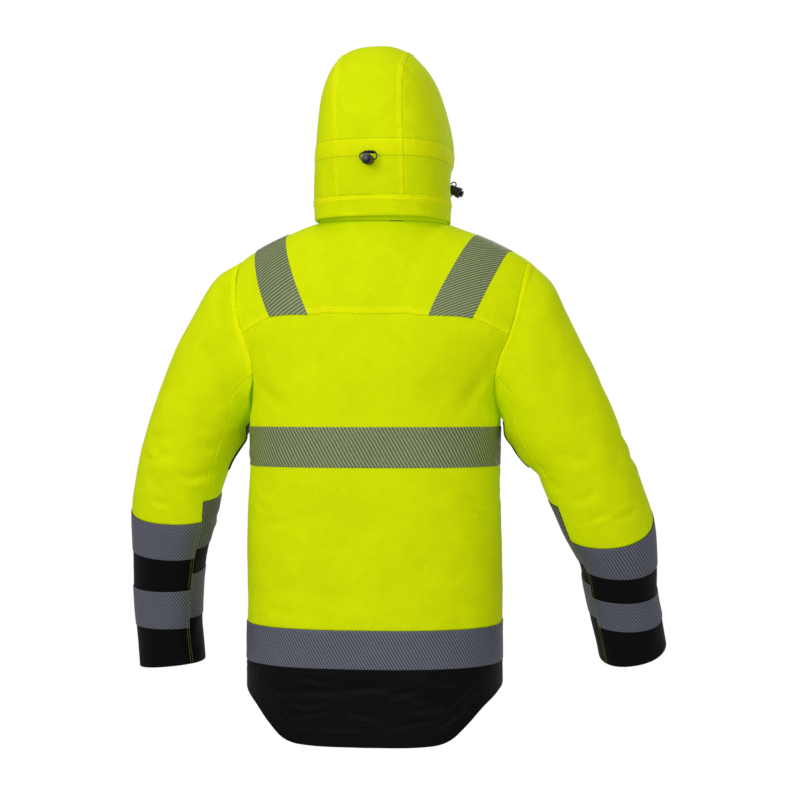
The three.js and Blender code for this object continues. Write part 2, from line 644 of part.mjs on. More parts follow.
const body = bodyGrids();
const sleeves = { left: sleeveGrid(body, 'left', -1), right: sleeveGrid(body, 'right', 1) };
const hood = hoodGrids();
const collar = collarGrid(body);
const zip = zipGrid(body, collar);
[body.back, body.right, body.left, sleeves.left, sleeves.right].forEach(addToPool);
[hood.shell, hood.band, collar, zip].forEach(addToPool);

function addBody() {
  const whole = [0, 2 * SIDE];
  addPiece('back_yoke', body.back, [YOKE_ROW, TOP_ROW], whole, YELLOW);
  addPiece('back_panel', body.back, [TAPE_ROWS.hemTop, YOKE_ROW], whole, YELLOW);
  addPiece('back_tail', body.back, [HEM_ROW, TAPE_ROWS.hemTop], whole, BLACK);
  for (const name of ['left', 'right']) {
    const grid = body[name];
    addPiece(`front_${name}`, grid, [TAPE_ROWS.hemTop, TOP_ROW], [0, SIDE], YELLOW);
    addPiece(`front_${name}_lower`, grid, [HEM_ROW, TAPE_ROWS.hemTop], [0, SIDE], BLACK);
  }
}

function addBodyTapes() {
  const bands = [
    { name: 'waist', rows: [TAPE_ROWS.waistBottom, TAPE_ROWS.waistTop], material: TAPE_ON_YELLOW },
    { name: 'hem', rows: [TAPE_ROWS.hemBottom, TAPE_ROWS.hemTop], material: TAPE_ON_BLACK },
  ];
  for (const { name, rows, material } of bands) {
    addPiece(`${name}_tape_back`, body.back, rows, [0, 2 * SIDE], material, TAPE, TAPE_FACE);
    addPiece(`${name}_tape_left`, body.left, rows, [0, SIDE], material, TAPE, TAPE_FACE);
    addPiece(`${name}_tape_right`, body.right, rows, [0, SIDE], material, TAPE, TAPE_FACE);
  }
  const { inner, outer } = TAPE_COLUMNS;
  const runs = [
    { name: 'left', back: [SIDE - outer, SIDE - inner], front: [inner, outer] },
    { name: 'right', back: [SIDE + inner, SIDE + outer], front: [SIDE - outer, SIDE - inner] },
  ];
  for (const { name, back, front } of runs) {
    const backRows = [YOKE_ROW, TOP_ROW];
    const frontRows = [TAPE_ROWS.waistTop, TOP_ROW];
    const grid = body[name];
    const node = `shoulder_tape_${name}`;
    addPiece(`${node}_back`, body.back, backRows, back, TAPE_ON_YELLOW, TAPE, TAPE_FACE);
    addPiece(`${node}_front`, grid, frontRows, front, TAPE_ON_YELLOW, TAPE, TAPE_FACE);
  }
}

function addSleeve(name) {
  const grid = sleeves[name];
  const border = ringRow(name, BORDER_RING);
  const cuff = grid.points.length - 1;
  const count = grid.points[0].length - 1;
  const round = (row) => [...row.slice(FRONT_SEAM, count), ...row.slice(0, BACK_SEAM + 1)];
  const top = { points: grid.points.map(round), flip: grid.flip };
  const last = top.points[0].length - 1;
  const under = [BACK_SEAM, FRONT_SEAM];
  const step = border - UNDER_STEP;
  addPiece(`sleeve_${name}_top`, top, [0, border], [0, last], YELLOW);
  addPiece(`sleeve_${name}_under`, grid, [0, step], under, YELLOW);
  addPiece(`cuff_${name}_top`, top, [border, cuff], [0, last], BLACK);
  addPiece(`cuff_${name}_under`, grid, [step, cuff], under, BLACK);
  for (const tape of TAPE_RINGS) {
    const rows = [ringRow(name, tape.top), ringRow(name, tape.bottom)];
    const higher = rows.map((row) => row - UNDER_STEP);
    const node = `sleeve_tape_${name}_${tape.name}`;
    addPiece(`${node}_top`, top, rows, [0, last], TAPE_ON_BLACK, TAPE, TAPE_FACE);
    addPiece(`${node}_under`, grid, higher, under, TAPE_ON_BLACK, TAPE, TAPE_FACE);
  }
}

// The black vent strip on the underside of a sleeve lies on the facets of the under sleeve
function addVent(name) {
  const grid = sleeves[name];
  const rows = grid.points.slice(VENT.firstRow, VENT.lastRow + 1);
  const cut = rows.map((row) => VENT[name].map((c) => between(row, c)));
  const normals = rows.map((row) => VENT[name].map((c) => (
    between(row.map(normalOf), c).normalize()
  )));
  addSheet(`vent_${name}`, cut, grid.flip, ZIP_BLACK, VENT.wall, LIFT + VENT.wall, normals);
}

function addHood() {
  const middle = HOOD_COLUMNS / 2;
  const seams = [middle - HOOD_CENTRE, middle + HOOD_CENTRE];
  const rows = [HOOD_FACE_BAND, HOOD_ROWS];
  addPiece('hood_face_band', hood.shell, [0, HOOD_FACE_BAND], [0, HOOD_COLUMNS], YELLOW);
  addPiece('hood_left', hood.shell, rows, [0, seams[0]], YELLOW);
  addPiece('hood_centre', hood.shell, rows, seams, YELLOW);
  addPiece('hood_right', hood.shell, rows, [seams[1], HOOD_COLUMNS], YELLOW);
  addPiece('hood_base_band', hood.band, [0, 2], [0, hood.band.points[0].length - 1], YELLOW);
  addPiece('collar', collar, [0, 3], [0, collar.points[0].length - 1], YELLOW);
}

function addZip() {
  const rows = [0, zip.points.length - 1];
  addPiece('zip_tape_right', zip, rows, [0, 1], ZIP_BLACK, ZIP.tapeWall);
  addPiece('zip_chain', zip, rows, [1, 2], ZIP_BLACK, ZIP.chainWall, ZIP.chainFace);
  addPiece('zip_tape_left', zip, rows, [2, 3], ZIP_BLACK, ZIP.tapeWall);
}

// Solids that are cut or joined
function solidOf(geometry) {
  const plain = geometry.clone();
  plain.deleteAttribute('normal');
  plain.deleteAttribute('uv');
  const merged = mergeVertices(plain, 1e-4);
  return new wasm.Manifold(new wasm.Mesh({
    numProp: 3,
    vertProperties: new Float32Array(merged.attributes.position.array),
    triVerts: new Uint32Array(merged.index.array),
  }));
}

function geometryOf(solid) {
  const mesh = solid.getMesh();
  const geometry = new THREE.BufferGeometry();
  geometry.setAttribute('position', new THREE.BufferAttribute(new Float32Array(mesh.vertProperties), 3));
  geometry.setIndex(new THREE.BufferAttribute(new Uint32Array(mesh.triVerts), 1));
  return geometry;
}

// A flat outline given as points, extruded to a thickness
function plate(points, depth) {
  const shape = new THREE.Shape(points.map(([x, y]) => new THREE.Vector2(x, y)));
  return new THREE.ExtrudeGeometry(shape, { depth, bevelEnabled: false });
}

// A rectangle with cut corners, in the middle of x and from a low to a high y
function cutRectangle(width, low, high, corner) {
  const w = width / 2;
  return [
    [-w, low + corner], [-w + corner, low], [w - corner, low], [w, low + corner],
    [w, high - corner], [w - corner, high], [-w + corner, high], [-w, high - corner],
  ];
}

// The slider stands on the chain near the top of the collar; its own axes are side, up and out
function sliderFrame() {
  const last = zip.points.length - 1;
  const middle = (row) => row[1].clone().lerp(row[2], 0.5);
  const top = middle(zip.points[last]);
  const low = middle(zip.points[last - 1]);
  const up = top.clone().sub(low).normalize();
  const across = zip.points[last][3].clone().sub(zip.points[last][0]).normalize();
  const out = across.clone().cross(up).normalize();
  const side = up.clone().cross(out);
  const place = top.clone().addScaledVector(up, -SLIDER.below);
  place.addScaledVector(out, ZIP.chainFace + SLIDER.gap);
  return new THREE.Matrix4().makeBasis(side, up, out).setPosition(place);
}

function sliderGeometry() {
  const half = SLIDER.length / 2;
  const base = plate(cutRectangle(SLIDER.width, -half, half, SLIDER.corner), SLIDER.wall);
  const l = BRIDGE.length / 2;
  const foot = -0.5; // the bridge is let into the slider
  const arch = plate([
    [-l, foot], [-l + BRIDGE.wall, foot], [-l + BRIDGE.wall, BRIDGE.height - BRIDGE.wall],
    [l - BRIDGE.wall, BRIDGE.height - BRIDGE.wall], [l - BRIDGE.wall, foot], [l, foot],
    [l, BRIDGE.height - 1], [l - 1, BRIDGE.height], [-l + 1, BRIDGE.height], [-l, BRIDGE.height - 1],
  ], BRIDGE.width);
  arch.translate(0, 0, -BRIDGE.width / 2);
  arch.applyMatrix4(new THREE.Matrix4().makeBasis(vec(0, 1, 0), vec(0, 0, 1), vec(1, 0, 0)));
  arch.translate(0, 0, SLIDER.wall);
  return geometryOf(solidOf(base).add(solidOf(arch)));
}

// The pull tab hangs from the bridge by its upper bar, the middle of which is the hinge
function tabGeometry() {
  const top = TAB.bar / 2;
  const outline = plate(cutRectangle(TAB.width, top - TAB.length, top, TAB.corner), TAB.wall);
  const hole = plate(cutRectangle(TAB.width - 2 * TAB.bar, -top - TAB.hole, -top, 0.8), 3 * TAB.wall);
  hole.translate(0, 0, -TAB.wall);
  const solid = geometryOf(solidOf(outline).subtract(solidOf(hole)));
  solid.translate(0, 0, SLIDER.wall + TAB.axisHeight - TAB.wall / 2);
  return solid;
}

function addSlider() {
  const frame = sliderFrame();
  [['zip_slider', sliderGeometry()], ['zip_pull_tab', tabGeometry()]].forEach(([name, geometry]) => {
    addMesh(name, geometry, METAL).applyMatrix4(frame);
  });
}

// A turned solid from pairs of radius and height, set on a point and turned to an axis
function turned(profile, place, axis) {
  const points = profile.map(([radius, height]) => new THREE.Vector2(radius, height));
  const geometry = new THREE.LatheGeometry(points, LOCK.segments);
  geometry.applyQuaternion(new THREE.Quaternion().setFromUnitVectors(vec(0, 1, 0), axis));
  return geometry.translate(place.x, place.y, place.z);
}

// A cord lock: a barrel with the cord through it, and the button at its far end
function addLock(name, base, axis, boreAxis) {
  const r = LOCK.radius;
  const end = LOCK.length;
  const barrel = solidOf(turned([
    [0, 0], [r - 2.4, 0], [r - 0.7, 1.4], [r, 6], [r, end - 6],
    [r - 0.7, end - 1.4], [r - 2.4, end], [0, end],
  ], base, axis));
  const radius = CORD / 2 + LOCK.clearance;
  const middle = base.clone().addScaledVector(axis, LOCK.bore);
  const start = middle.clone().addScaledVector(boreAxis, -2 * r);
  const bore = turned([[0, 0], [radius, 0], [radius, 4 * r], [0, 4 * r]], start, boreAxis);
  addMesh(`cord_lock_${name}`, geometryOf(barrel.subtract(solidOf(bore))), HARDWARE);
  const low = end + BUTTON.gap;
  const high = low + BUTTON.length;
  addMesh(`cord_lock_button_${name}`, turned([
    [0, low], [BUTTON.radius, low], [BUTTON.radius, high - 1.2], [BUTTON.radius - 1, high], [0, high],
  ], base, axis), HARDWARE);
}

function addCord(name, points) {
  const section = new THREE.Shape(steps(CORD_SIDES - 1).map((i) => {
    const angle = (i / CORD_SIDES) * 2 * Math.PI;
    return new THREE.Vector2(Math.cos(angle) * CORD / 2, Math.sin(angle) * CORD / 2);
  }));
  const extrudePath = new THREE.CatmullRomCurve3(points);
  const geometry = new THREE.ExtrudeGeometry(section, { steps: CORD_STEPS, extrudePath });
  addMesh(`cord_${name}`, geometry, HARDWARE);
}

// A point on the hood's shell at a share of its spine and a height, on the wearer's right or left
function hoodSide(share, z, mirror) {
  const arch = hoodArch(share);
  const row = mirror < 0 ? arch : arch.slice().reverse();
  const i = row.findIndex((p, k) => k > 0 && p.z >= z);
  const t = (z - row[i - 1].z) / (row[i].z - row[i - 1].z);
  return row[i - 1].clone().lerp(row[i], t);
}

// The side locks hang on loops that leave the band round the face
function addSideLock(name, mirror) {
  const out = vec(mirror, 0, 0);
  const exitAt = (z) => hoodSide(SIDE_LOCK.share, z, mirror).addScaledVector(out, SIDE_SEAT[name]);
  const upper = exitAt(SIDE_LOCK.upper);
  const lower = exitAt(SIDE_LOCK.lower);
  const tilt = SIDE_LOCK.tilt * DEGREE;
  const axis = vec(mirror * Math.cos(tilt), 0, Math.sin(tilt));
  const across = vec(-mirror * Math.sin(tilt), 0, Math.cos(tilt));
  const middle = upper.clone().lerp(lower, 0.5).addScaledVector(out, SIDE_LOCK.reach);
  const near = (along, sideways) => (
    middle.clone().addScaledVector(across, along).addScaledVector(axis, sideways)
  );
  const route = [
    upper, upper.clone().addScaledVector(out, 3), near(12.4, -5.2), near(11.2, -1.4), near(8.8, -0.1),
    near(4, 0), near(-4, 0), near(-8.8, -0.1), near(-11.2, -1.4), near(-12.4, -5.2),
    lower.clone().addScaledVector(out, 3), lower,
  ];
  const base = middle.clone().addScaledVector(axis, -LOCK.bore);
  addLock(name, hoodTurned(base), hoodTurned(axis), hoodTurned(across));
  addCord(name, route.map(hoodTurned));
}

// The back lock stands on the hood, on a loop that leaves the slot above it
function addBackLock() {
  const spine = HOOD.slice().reverse();
  const surface = read(spine, 'z', BACK_LOCK.z, 'y') - BACK_LOCK.seat;
  const { x, z, slot, slotRise, bow } = BACK_LOCK;
  const base = vec(x, surface, z);
  const bore = surface - LOCK.bore;
  const exit = read(spine, 'z', z + slotRise, 'y') - BACK_LOCK.seat;
  const side = (mirror) => [
    vec(x + mirror * slot, exit, z + slotRise), vec(x + mirror * slot * 1.08, exit - 2.5, z + slotRise),
    vec(x + mirror * (bow - 1.2), exit - 5.2, z + slotRise - 2), vec(x + mirror * bow, bore, z + 4.6),
    vec(x + mirror * (bow - 1.4), bore, z + 1.3), vec(x + mirror * (bow - 4), bore, z + 0.1),
    vec(x + mirror * (bow - 9), bore, z),
  ];
  const route = [...side(-1), ...side(1).reverse()];
  addLock('back', hoodTurned(base), hoodTurned(vec(0, -1, 0)), hoodTurned(vec(1, 0, 0)));
  addCord('back', route.map(hoodTurned));
}

addBody();
addBodyTapes();
['left', 'right'].forEach(addSleeve);
['left', 'right'].forEach(addVent);
addHood();
addZip();
addSlider();
addSideLock('left', -1);
addSideLock('right', 1);
addBackLock();

export default jacket;
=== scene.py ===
"""A hooded high-visibility work jacket, filled out as it is worn, seen from behind.

Millimetres in the tables, metres in the meshes. Each cut piece of cloth is a thin shell on the same
surface as its solid, with seams, folds, stitching and tapes worked on it.
"""

import json
import math

import bpy
import numpy as np
from mathutils import Matrix, Vector

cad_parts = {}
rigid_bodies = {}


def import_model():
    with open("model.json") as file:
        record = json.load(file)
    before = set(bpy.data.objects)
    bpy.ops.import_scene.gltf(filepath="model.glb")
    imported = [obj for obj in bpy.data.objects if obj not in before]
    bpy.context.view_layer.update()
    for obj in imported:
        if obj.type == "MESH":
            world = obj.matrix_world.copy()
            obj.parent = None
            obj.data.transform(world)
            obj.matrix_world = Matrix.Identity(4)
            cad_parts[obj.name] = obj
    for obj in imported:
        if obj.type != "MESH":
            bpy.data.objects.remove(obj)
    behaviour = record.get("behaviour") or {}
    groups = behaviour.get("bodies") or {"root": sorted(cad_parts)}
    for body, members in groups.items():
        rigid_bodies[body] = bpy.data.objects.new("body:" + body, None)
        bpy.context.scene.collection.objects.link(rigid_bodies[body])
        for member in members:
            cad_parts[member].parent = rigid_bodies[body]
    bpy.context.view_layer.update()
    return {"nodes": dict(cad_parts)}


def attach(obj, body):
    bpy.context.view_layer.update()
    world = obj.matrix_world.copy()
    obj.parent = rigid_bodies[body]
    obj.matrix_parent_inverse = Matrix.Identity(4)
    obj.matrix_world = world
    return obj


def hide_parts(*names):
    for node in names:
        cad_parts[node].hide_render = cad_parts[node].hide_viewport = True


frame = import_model()

MM = 0.001
CLOTH = 2.0  # wall of the padded outer cloth
TAPE = 0.8  # wall of a reflective tape
LIFT = 0.35  # gap between a tape and the cloth under it
RING_POWER = 2.5
SLEEVE_POWER = 2.2
SHOULDER_ROLL = 2.6
HOOD_POWER = 2.7
ARMPIT = -300.0
YOKE_RISE = 0.515
CHEST = {"back": 138.0, "front": 150.0}
NECK = {"width": 98.0, "back": 94.0, "front": 90.0, "side": -4.0, "back_height": -7.0, "front_height": -34.0}
COLLAR = {"height": 56.0, "flare": 1.6, "seat": 0.5}
ZIP = {"half": 10.5, "chain": 3.2}
TURN = math.radians(-6)  # shoulders and hood against the waist
LEAN = -14.0
ROLL = 0.018  # the left shoulder is held higher
HOOD_LEAN = -9.0
BAND = {"height": 31.0, "bottom": -1.0, "foot": 1.5}
HOOD_FOOT = {"width": 104.0, "back": 110.0, "front": 100.0}
SEED = 41

# The body's rings below the armpit: z, half width, depth at the back and at the front
BODY = np.array([
    (-300, 194, 138, 150), (-316, 194, 139, 150), (-376, 193, 139, 149), (-436, 195.5, 139, 148),
    (-500, 197, 140, 148), (-560, 197, 141, 149), (-616, 197, 142, 150), (-673, 197, 141, 150),
    (-789, 198, 138, 150),
], float)
BODY_LEVELS = [-673, -616, -568, -520, -472, -424, -376, -316, -300]  # rows 4 to 12
TAIL = np.array([
    (0, -789), (0.5, -787), (0.64, -779), (0.76, -758), (0.87, -735), (0.95, -722), (1, -712),
], float)
FRONT_HEM = -706.0

# Above the armpit: rise, the armhole's distance from the middle, share of the depth left there
ARMHOLE = np.array([
    (0, 194, 0), (0.14, 186, 0.4), (0.27, 185, 0.54), (0.39, 191, 0.61), (0.515, 204, 0.65),
    (0.64, 214, 0.64), (0.76, 220, 0.6), (0.87, 224, 0.56), (0.95, 226, 0.52), (1, 227, 0.5),
], float)
# Columns from the middle to the side: angle, distance at the yoke seam and at the shoulder seam, and
# the rise of the yoke seam
COLUMNS = np.array([
    (0, 0, 0, 0.515), (6, 16, 37.5, 0.515), (12, 33, 69.3, 0.515), (18, 48, 90.5, 0.515),
    (24, 62, 98, 0.516), (30, 75, 123, 0.522), (36, 88, 148, 0.538), (43, 107.7, 165, 0.554),
    (51, 127.3, 182, 0.568), (60, 147, 199, 0.578), (74, 176, 213, 0.55), (90, 204, 227, 0.515),
], float)
SHOULDER = np.array([
    (0, 4), (60, 2), (98, -4), (138, -18), (165, -29), (190, -41), (210, -52), (227, -63),
], float)
SIDE = 11
TAIL_ROWS = 4
HEM_TOP = 5
WAIST_BOTTOM, WAIST_TOP = 10, 11
ARMPIT_ROW = 12
YOKE_ROW = 16
TOP_ROW = 21

# Sleeve rings: rows from the ring before, outer and inner point (distance, height), the ring's
# middle y, half depth, and how far its back hangs lower
SLEEVES = {
    "left": np.array([
        (1, 261, -82, 218, -316, 8, 90, 0), (1, 298, -143, 221, -337, 9, 90, 0),
        (2, 328.5, -198, 231, -352, 8, 88, 2), (2, 358, -272, 243, -371, 6, 84, 4),
        (2, 378, -340, 254, -402, 3, 79, 9), (1, 393, -402, 260, -426, 2, 73, 14),
        (1, 398.5, -443, 264, -452, 3, 67, 20), (4, 398, -505, 282, -513, 14, 60, 14),
        (2, 399.5, -566, 292, -568, 28, 55, 8), (4, 400, -629, 297, -631, 40, 52, 5),
        (2, 399, -699, 294, -690, 52, 50, 2),
    ], float),
    "right": np.array([
        (1, 259, -97, 186, -310, -8, 90, 0), (1, 283, -146, 190, -331, -9, 90, 0),
        (2, 310, -199, 199, -349, -8, 88, 2), (2, 340, -262, 216, -369, -9, 84, 5),
        (2, 367, -328, 236, -388, -5, 80, 11), (1, 394, -396, 254, -424, 0, 74, 24),
        (1, 413, -457, 274, -465, 8, 68, 38), (4, 419, -525, 300, -524, 26, 61, 23),
        (2, 421, -569, 308, -567, 40, 57, 18), (4, 429, -613, 318, -612, 56, 53, 19),
        (2, 437, -657, 332, -673, 74, 50, 22),
    ], float),
}
BACK_SEAM, FRONT_SEAM, LOOP = 7, 11, 18
CUFF_TOP, CUFF_ROWS = 10, 22
VENT = {"left": (9.1, 9.95), "right": (8.7, 9.6)}
SLEEVE_TAPES = {"upper": (10, 14), "lower": (16, 20)}
SHOULDER_TAPES = [("left", (2, 5), (6, 9)), ("right", (17, 20), (2, 5))]  # columns at the back and the front

# Spine of the hood from the face edge to the neck: y, z, half width, where the arch stands (degrees)
HOOD = np.array([
    (116, 246, 96, 146), (88, 259, 100, 140), (45, 270, 103, 132), (0, 272, 104, 124),
    (-42, 262, 104, 117), (-78, 236, 104, 111), (-102, 198, 104, 106), (-116, 155, 104, 102),
    (-120, 112, 104, 99), (-117, 70, 104, 97), (-110, 30, 104, 95),
], float)
HOOD_ROWS, HOOD_COLUMNS = 12, 22
HOOD_SEAMS = (8, 14)

# Folds that the solids have too: x, z, half length, half width, depth, turn in degrees
PRESSED = {
    "back": [(-150, -268, 46, 13, 5, -38), (158, -262, 50, 15, 6, 62), (-60, -705, 95, 11, 2.5, 4),
             (95, -722, 60, 12, 2.5, -24), (-130, -560, 60, 16, 2.5, 20)],
    "front": [(150, -250, 46, 14, 5, -60), (-150, -255, 46, 14, 5, 60), (70, -450, 70, 18, 3, 15)],
}
FOLD_FREE = 60.0

# The camera of the photograph
CAMERA_TURN = math.radians(6)
CAMERA_DISTANCE = 2700.0
TARGET = np.array([24.8, 0.0, -276.0])
PIXEL = 1.55


def smooth(t):
    t = np.clip(t, 0, 1)
    return t * t * (3 - 2 * t)


def lerp(a, b, t):
    return a + (b - a) * t


def read(table, value, column=1, key=0):
    """One column of a table, smooth between its rows."""
    keys, values = table[:, key], table[:, column]
    value = np.asarray(value, float)
    if keys[0] > keys[-1]:
        keys, value = -keys, -value
    v = np.clip(value, keys[0], keys[-1])
    i = np.clip(np.searchsorted(keys, v, side="left") - 1, 0, len(keys) - 2)
    low = np.maximum(np.arange(len(keys)) - 1, 0)
    high = np.minimum(np.arange(len(keys)) + 1, len(keys) - 1)
    slope = (values[high] - values[low]) / (keys[high] - keys[low])
    span = keys[i + 1] - keys[i]
    t = (v - keys[i]) / span
    bow = slope[i] * span * t * (1 - t) ** 2 - slope[i + 1] * span * t * t * (1 - t)
    return lerp(values[i], values[i + 1], t * t * (3 - 2 * t)) + bow


def turned(p):
    """Turned as the hood and the shoulders are."""
    c, s = math.cos(TURN), math.sin(TURN)
    lean = HOOD_LEAN * smooth((p[..., 2] - 90) / 180)
    return np.stack([p[..., 0] * c - p[..., 1] * s + lean, p[..., 0] * s + p[..., 1] * c, p[..., 2]], -1)


def posed(x, y, z):
    turn = TURN * smooth((z - ARMPIT) / 200)
    lean = LEAN * smooth((-170 - z) / 130)
    return np.stack([
        x * np.cos(turn) - y * np.sin(turn) + lean, x * np.sin(turn) + y * np.cos(turn),
        z - ROLL * x * smooth((z - ARMPIT) / 200),
    ], -1)


def pressed(x, y, z, side):
    depth = np.zeros_like(x)
    away = np.clip(y / FOLD_FREE, 0, 1)
    for fx, fz, long, wide, deep, turn in PRESSED[side]:
        c, s = math.cos(math.radians(turn)), math.sin(math.radians(turn))
        along = ((x - fx) * c + (z - fz) * s) / long
        across = ((z - fz) * c - (x - fx) * s) / wide
        depth += away * deep * np.exp(-2 * (along ** 2 + across ** 2))
    return depth


def angle_at(distance, width):
    return np.arcsin(np.clip((distance / width) ** (RING_POWER / 2), 0, 1))


def ring_at(rise):
    depth = np.clip(read(ARMHOLE, rise, 2), 0, 1)
    end = np.arccos(depth ** (RING_POWER / 2))
    return end, read(ARMHOLE, rise, 1) / np.sin(end) ** (2 / RING_POWER)


def column_row(column, name):
    place = ("angle", "yoke", "shoulder", "seam").index(name)
    return np.interp(column, np.arange(len(COLUMNS)), COLUMNS[:, place])


def column_angle(column, rise):
    end, _ = ring_at(rise)
    level = column_row(column, "angle") / 90 * end
    yoke_end, yoke_width = ring_at(np.full_like(rise, YOKE_RISE))
    top_end, top_width = ring_at(np.ones_like(rise))
    yoke = angle_at(column_row(column, "yoke"), yoke_width) / yoke_end
    shoulder = angle_at(column_row(column, "shoulder"), top_width) / top_end
    upper = lerp(yoke, shoulder, np.clip((rise - YOKE_RISE) / (1 - YOKE_RISE), 0, 1))
    t = smooth(rise / YOKE_RISE)
    return np.where(rise < YOKE_RISE, lerp(level, yoke * end, t), upper * end)


def chest_point(side, column, mirror, level):
    half = CHEST[side]
    near = np.where(level < YOKE_RISE, level / YOKE_RISE, (1 - level) / (1 - YOKE_RISE))
    rise = level + (column_row(column, "seam") - YOKE_RISE) * smooth(near)
    end, width = ring_at(rise)
    angle = column_angle(column, rise)
    distance = column_row(column, "shoulder")
    if side == "front":
        first = column_angle(np.ones_like(column), rise)
        angle = np.where(column < 1, lerp(angle_at(ZIP["half"], width), first, column), angle)
        distance = np.where(column < 1, lerp(ZIP["half"], COLUMNS[1, 2], column), distance)
    depth = half * np.cos(angle) ** (2 / RING_POWER)
    x = width * np.sin(angle) ** (2 / RING_POWER)
    across = np.arcsin(np.clip(distance / NECK["width"], 0, 1))
    neck_depth = NECK[side] * np.cos(across)
    top_end, top_width = ring_at(np.ones_like(rise))
    top_depth = half * np.cos(angle_at(column_row(column, "shoulder"), top_width)) ** (2 / RING_POWER)
    ratio = np.clip(neck_depth / top_depth, 0, 1)
    at_neck = column < 4
    edge = np.where(at_neck, (1 - ratio ** SHOULDER_ROLL) ** (1 / SHOULDER_ROLL), 1)
    neck_top = lerp(NECK["side"], NECK[side + "_height"], np.cos(across) ** 1.5)
    top = np.where(at_neck, neck_top, read(SHOULDER, column_row(column, "shoulder")))
    left = np.maximum(1 - (rise * edge) ** SHOULDER_ROLL, 0) ** (1 / SHOULDER_ROLL)
    z = lerp(ARMPIT, top, rise)
    full = depth * left
    y = full - pressed(x * mirror, full, z, side)
    return posed(x * mirror, -y if side == "back" else y, z)


def torso_point(side, column, mirror, row):
    angle = np.radians(column_row(column, "angle"))
    across = np.sin(angle) ** (2 / RING_POWER)
    hem = read(TAIL, across) if side == "back" else lerp(FRONT_HEM, TAIL[-1, 1], across ** 2)
    z = np.where(row < TAIL_ROWS, lerp(hem, BODY_LEVELS[0], np.clip(row / TAIL_ROWS, 0, 1)),
                 np.interp(row, np.arange(TAIL_ROWS, ARMPIT_ROW + 1), BODY_LEVELS))
    width = read(BODY, z, 1)
    depth = read(BODY, z, 2 if side == "back" else 3)
    if side == "front":
        first = np.radians(COLUMNS[1, 0])
        angle = np.where(column < 1, lerp(angle_at(ZIP["half"], width), first, column), angle)
    x = width * np.sin(angle) ** (2 / RING_POWER) * mirror
    y = depth * np.maximum(np.cos(angle), 0) ** (2 / RING_POWER)
    y = y - pressed(x, y, z, side)
    return posed(x, -y if side == "back" else y, z)


def body_surface(side, column, mirror, row):
    column, row = np.broadcast_arrays(np.asarray(column, float), np.asarray(row, float))
    rise = np.interp(row, ARMPIT_ROW + np.arange(len(ARMHOLE)), ARMHOLE[:, 0])
    low = torso_point(side, column, mirror, row)
    high = chest_point(side, column, mirror, rise)
    return np.where((row < ARMPIT_ROW)[..., None], low, high)


def back_cloth(c, r):
    return body_surface("back", np.abs(c - SIDE), np.where(c < SIDE, -1.0, 1.0), r)


def right_front_cloth(c, r):
    return body_surface("front", SIDE - np.clip(c, 0, SIDE), 1.0, r)


def left_front_cloth(c, r):
    return body_surface("front", np.clip(c, 0, SIDE), -1.0, r)


def spline(points, at):
    """A centripetal curve through rows of points, read at fractional rows."""
    first = 2 * points[:1] - points[1:2]
    last = 2 * points[-1:] - points[-2:-1]
    p = np.concatenate([first, points, last])
    i = np.clip(np.floor(at).astype(int), 0, len(points) - 2)
    columns = np.arange(points.shape[1])[None, :]
    p0, p1, p2, p3 = (p[i + k, columns] for k in range(4))
    t = (at - i)[..., None]
    step = lambda a, b: np.maximum(((b - a) ** 2).sum(-1, keepdims=True) ** 0.25, 1e-6)
    d0, d1, d2 = step(p0, p1), step(p1, p2), step(p2, p3)
    s1 = ((p1 - p0) / d0 - (p2 - p0) / (d0 + d1) + (p2 - p1) / d1) * d1
    s2 = ((p2 - p1) / d1 - (p3 - p1) / (d1 + d2) + (p3 - p2) / d2) * d1
    return (p1 + s1 * t + (-3 * p1 + 3 * p2 - 2 * s1 - s2) * t ** 2
            + (2 * p1 - 2 * p2 + s1 + s2) * t ** 3)


def armhole_edge(mirror, j):
    column = np.full_like(j, SIDE)
    back = body_surface("back", column, mirror, TOP_ROW - np.minimum(j, 9))
    front = body_surface("front", column, mirror, ARMPIT_ROW + np.maximum(j - 9, 0))
    return np.where((j <= 9)[..., None], back, front)


def sleeve_cloth(name):
    mirror = -1.0 if name == "left" else 1.0
    rings = SLEEVES[name]
    knots = np.arange(LOOP + 1, dtype=float)
    loop = armhole_edge(mirror, knots)
    along = np.concatenate([[0], np.cumsum(np.linalg.norm(np.diff(loop, axis=0), axis=1))])
    row_knots = np.concatenate([[0], np.cumsum(rings[:, 0])])

    def ring_points(ring, j, even):
        share = lerp(np.interp(j, knots, along / along[-1]), j / LOOP, even)
        angle = share * 2 * math.pi
        c, s = np.cos(angle), np.sin(angle)
        across = np.sign(c) * np.abs(c) ** (2 / SLEEVE_POWER)
        back = np.sign(s) * np.abs(s) ** (2 / SLEEVE_POWER)
        _, outer, outer_z, inner, inner_z, y, half, drop = ring
        x = lerp(inner, outer, (1 + across) / 2) * mirror
        return np.stack([x, y - half * back, lerp(inner_z, outer_z, (1 + across) / 2) - drop * back], -1)

    def surface(c, r):
        c, r = np.broadcast_arrays(np.asarray(c, float), np.asarray(r, float))
        j = np.mod(c[0] if c.ndim == 2 else c, LOOP)
        rows = r if r.ndim == 2 else r[None, :]
        points = np.stack([armhole_edge(mirror, j)]
                          + [ring_points(ring, j, min((i + 1) / 4, 1)) for i, ring in enumerate(rings)])
        out = spline(points, np.interp(rows, row_knots, np.arange(len(row_knots))))
        return out if r.ndim == 2 else out[0]

    return surface


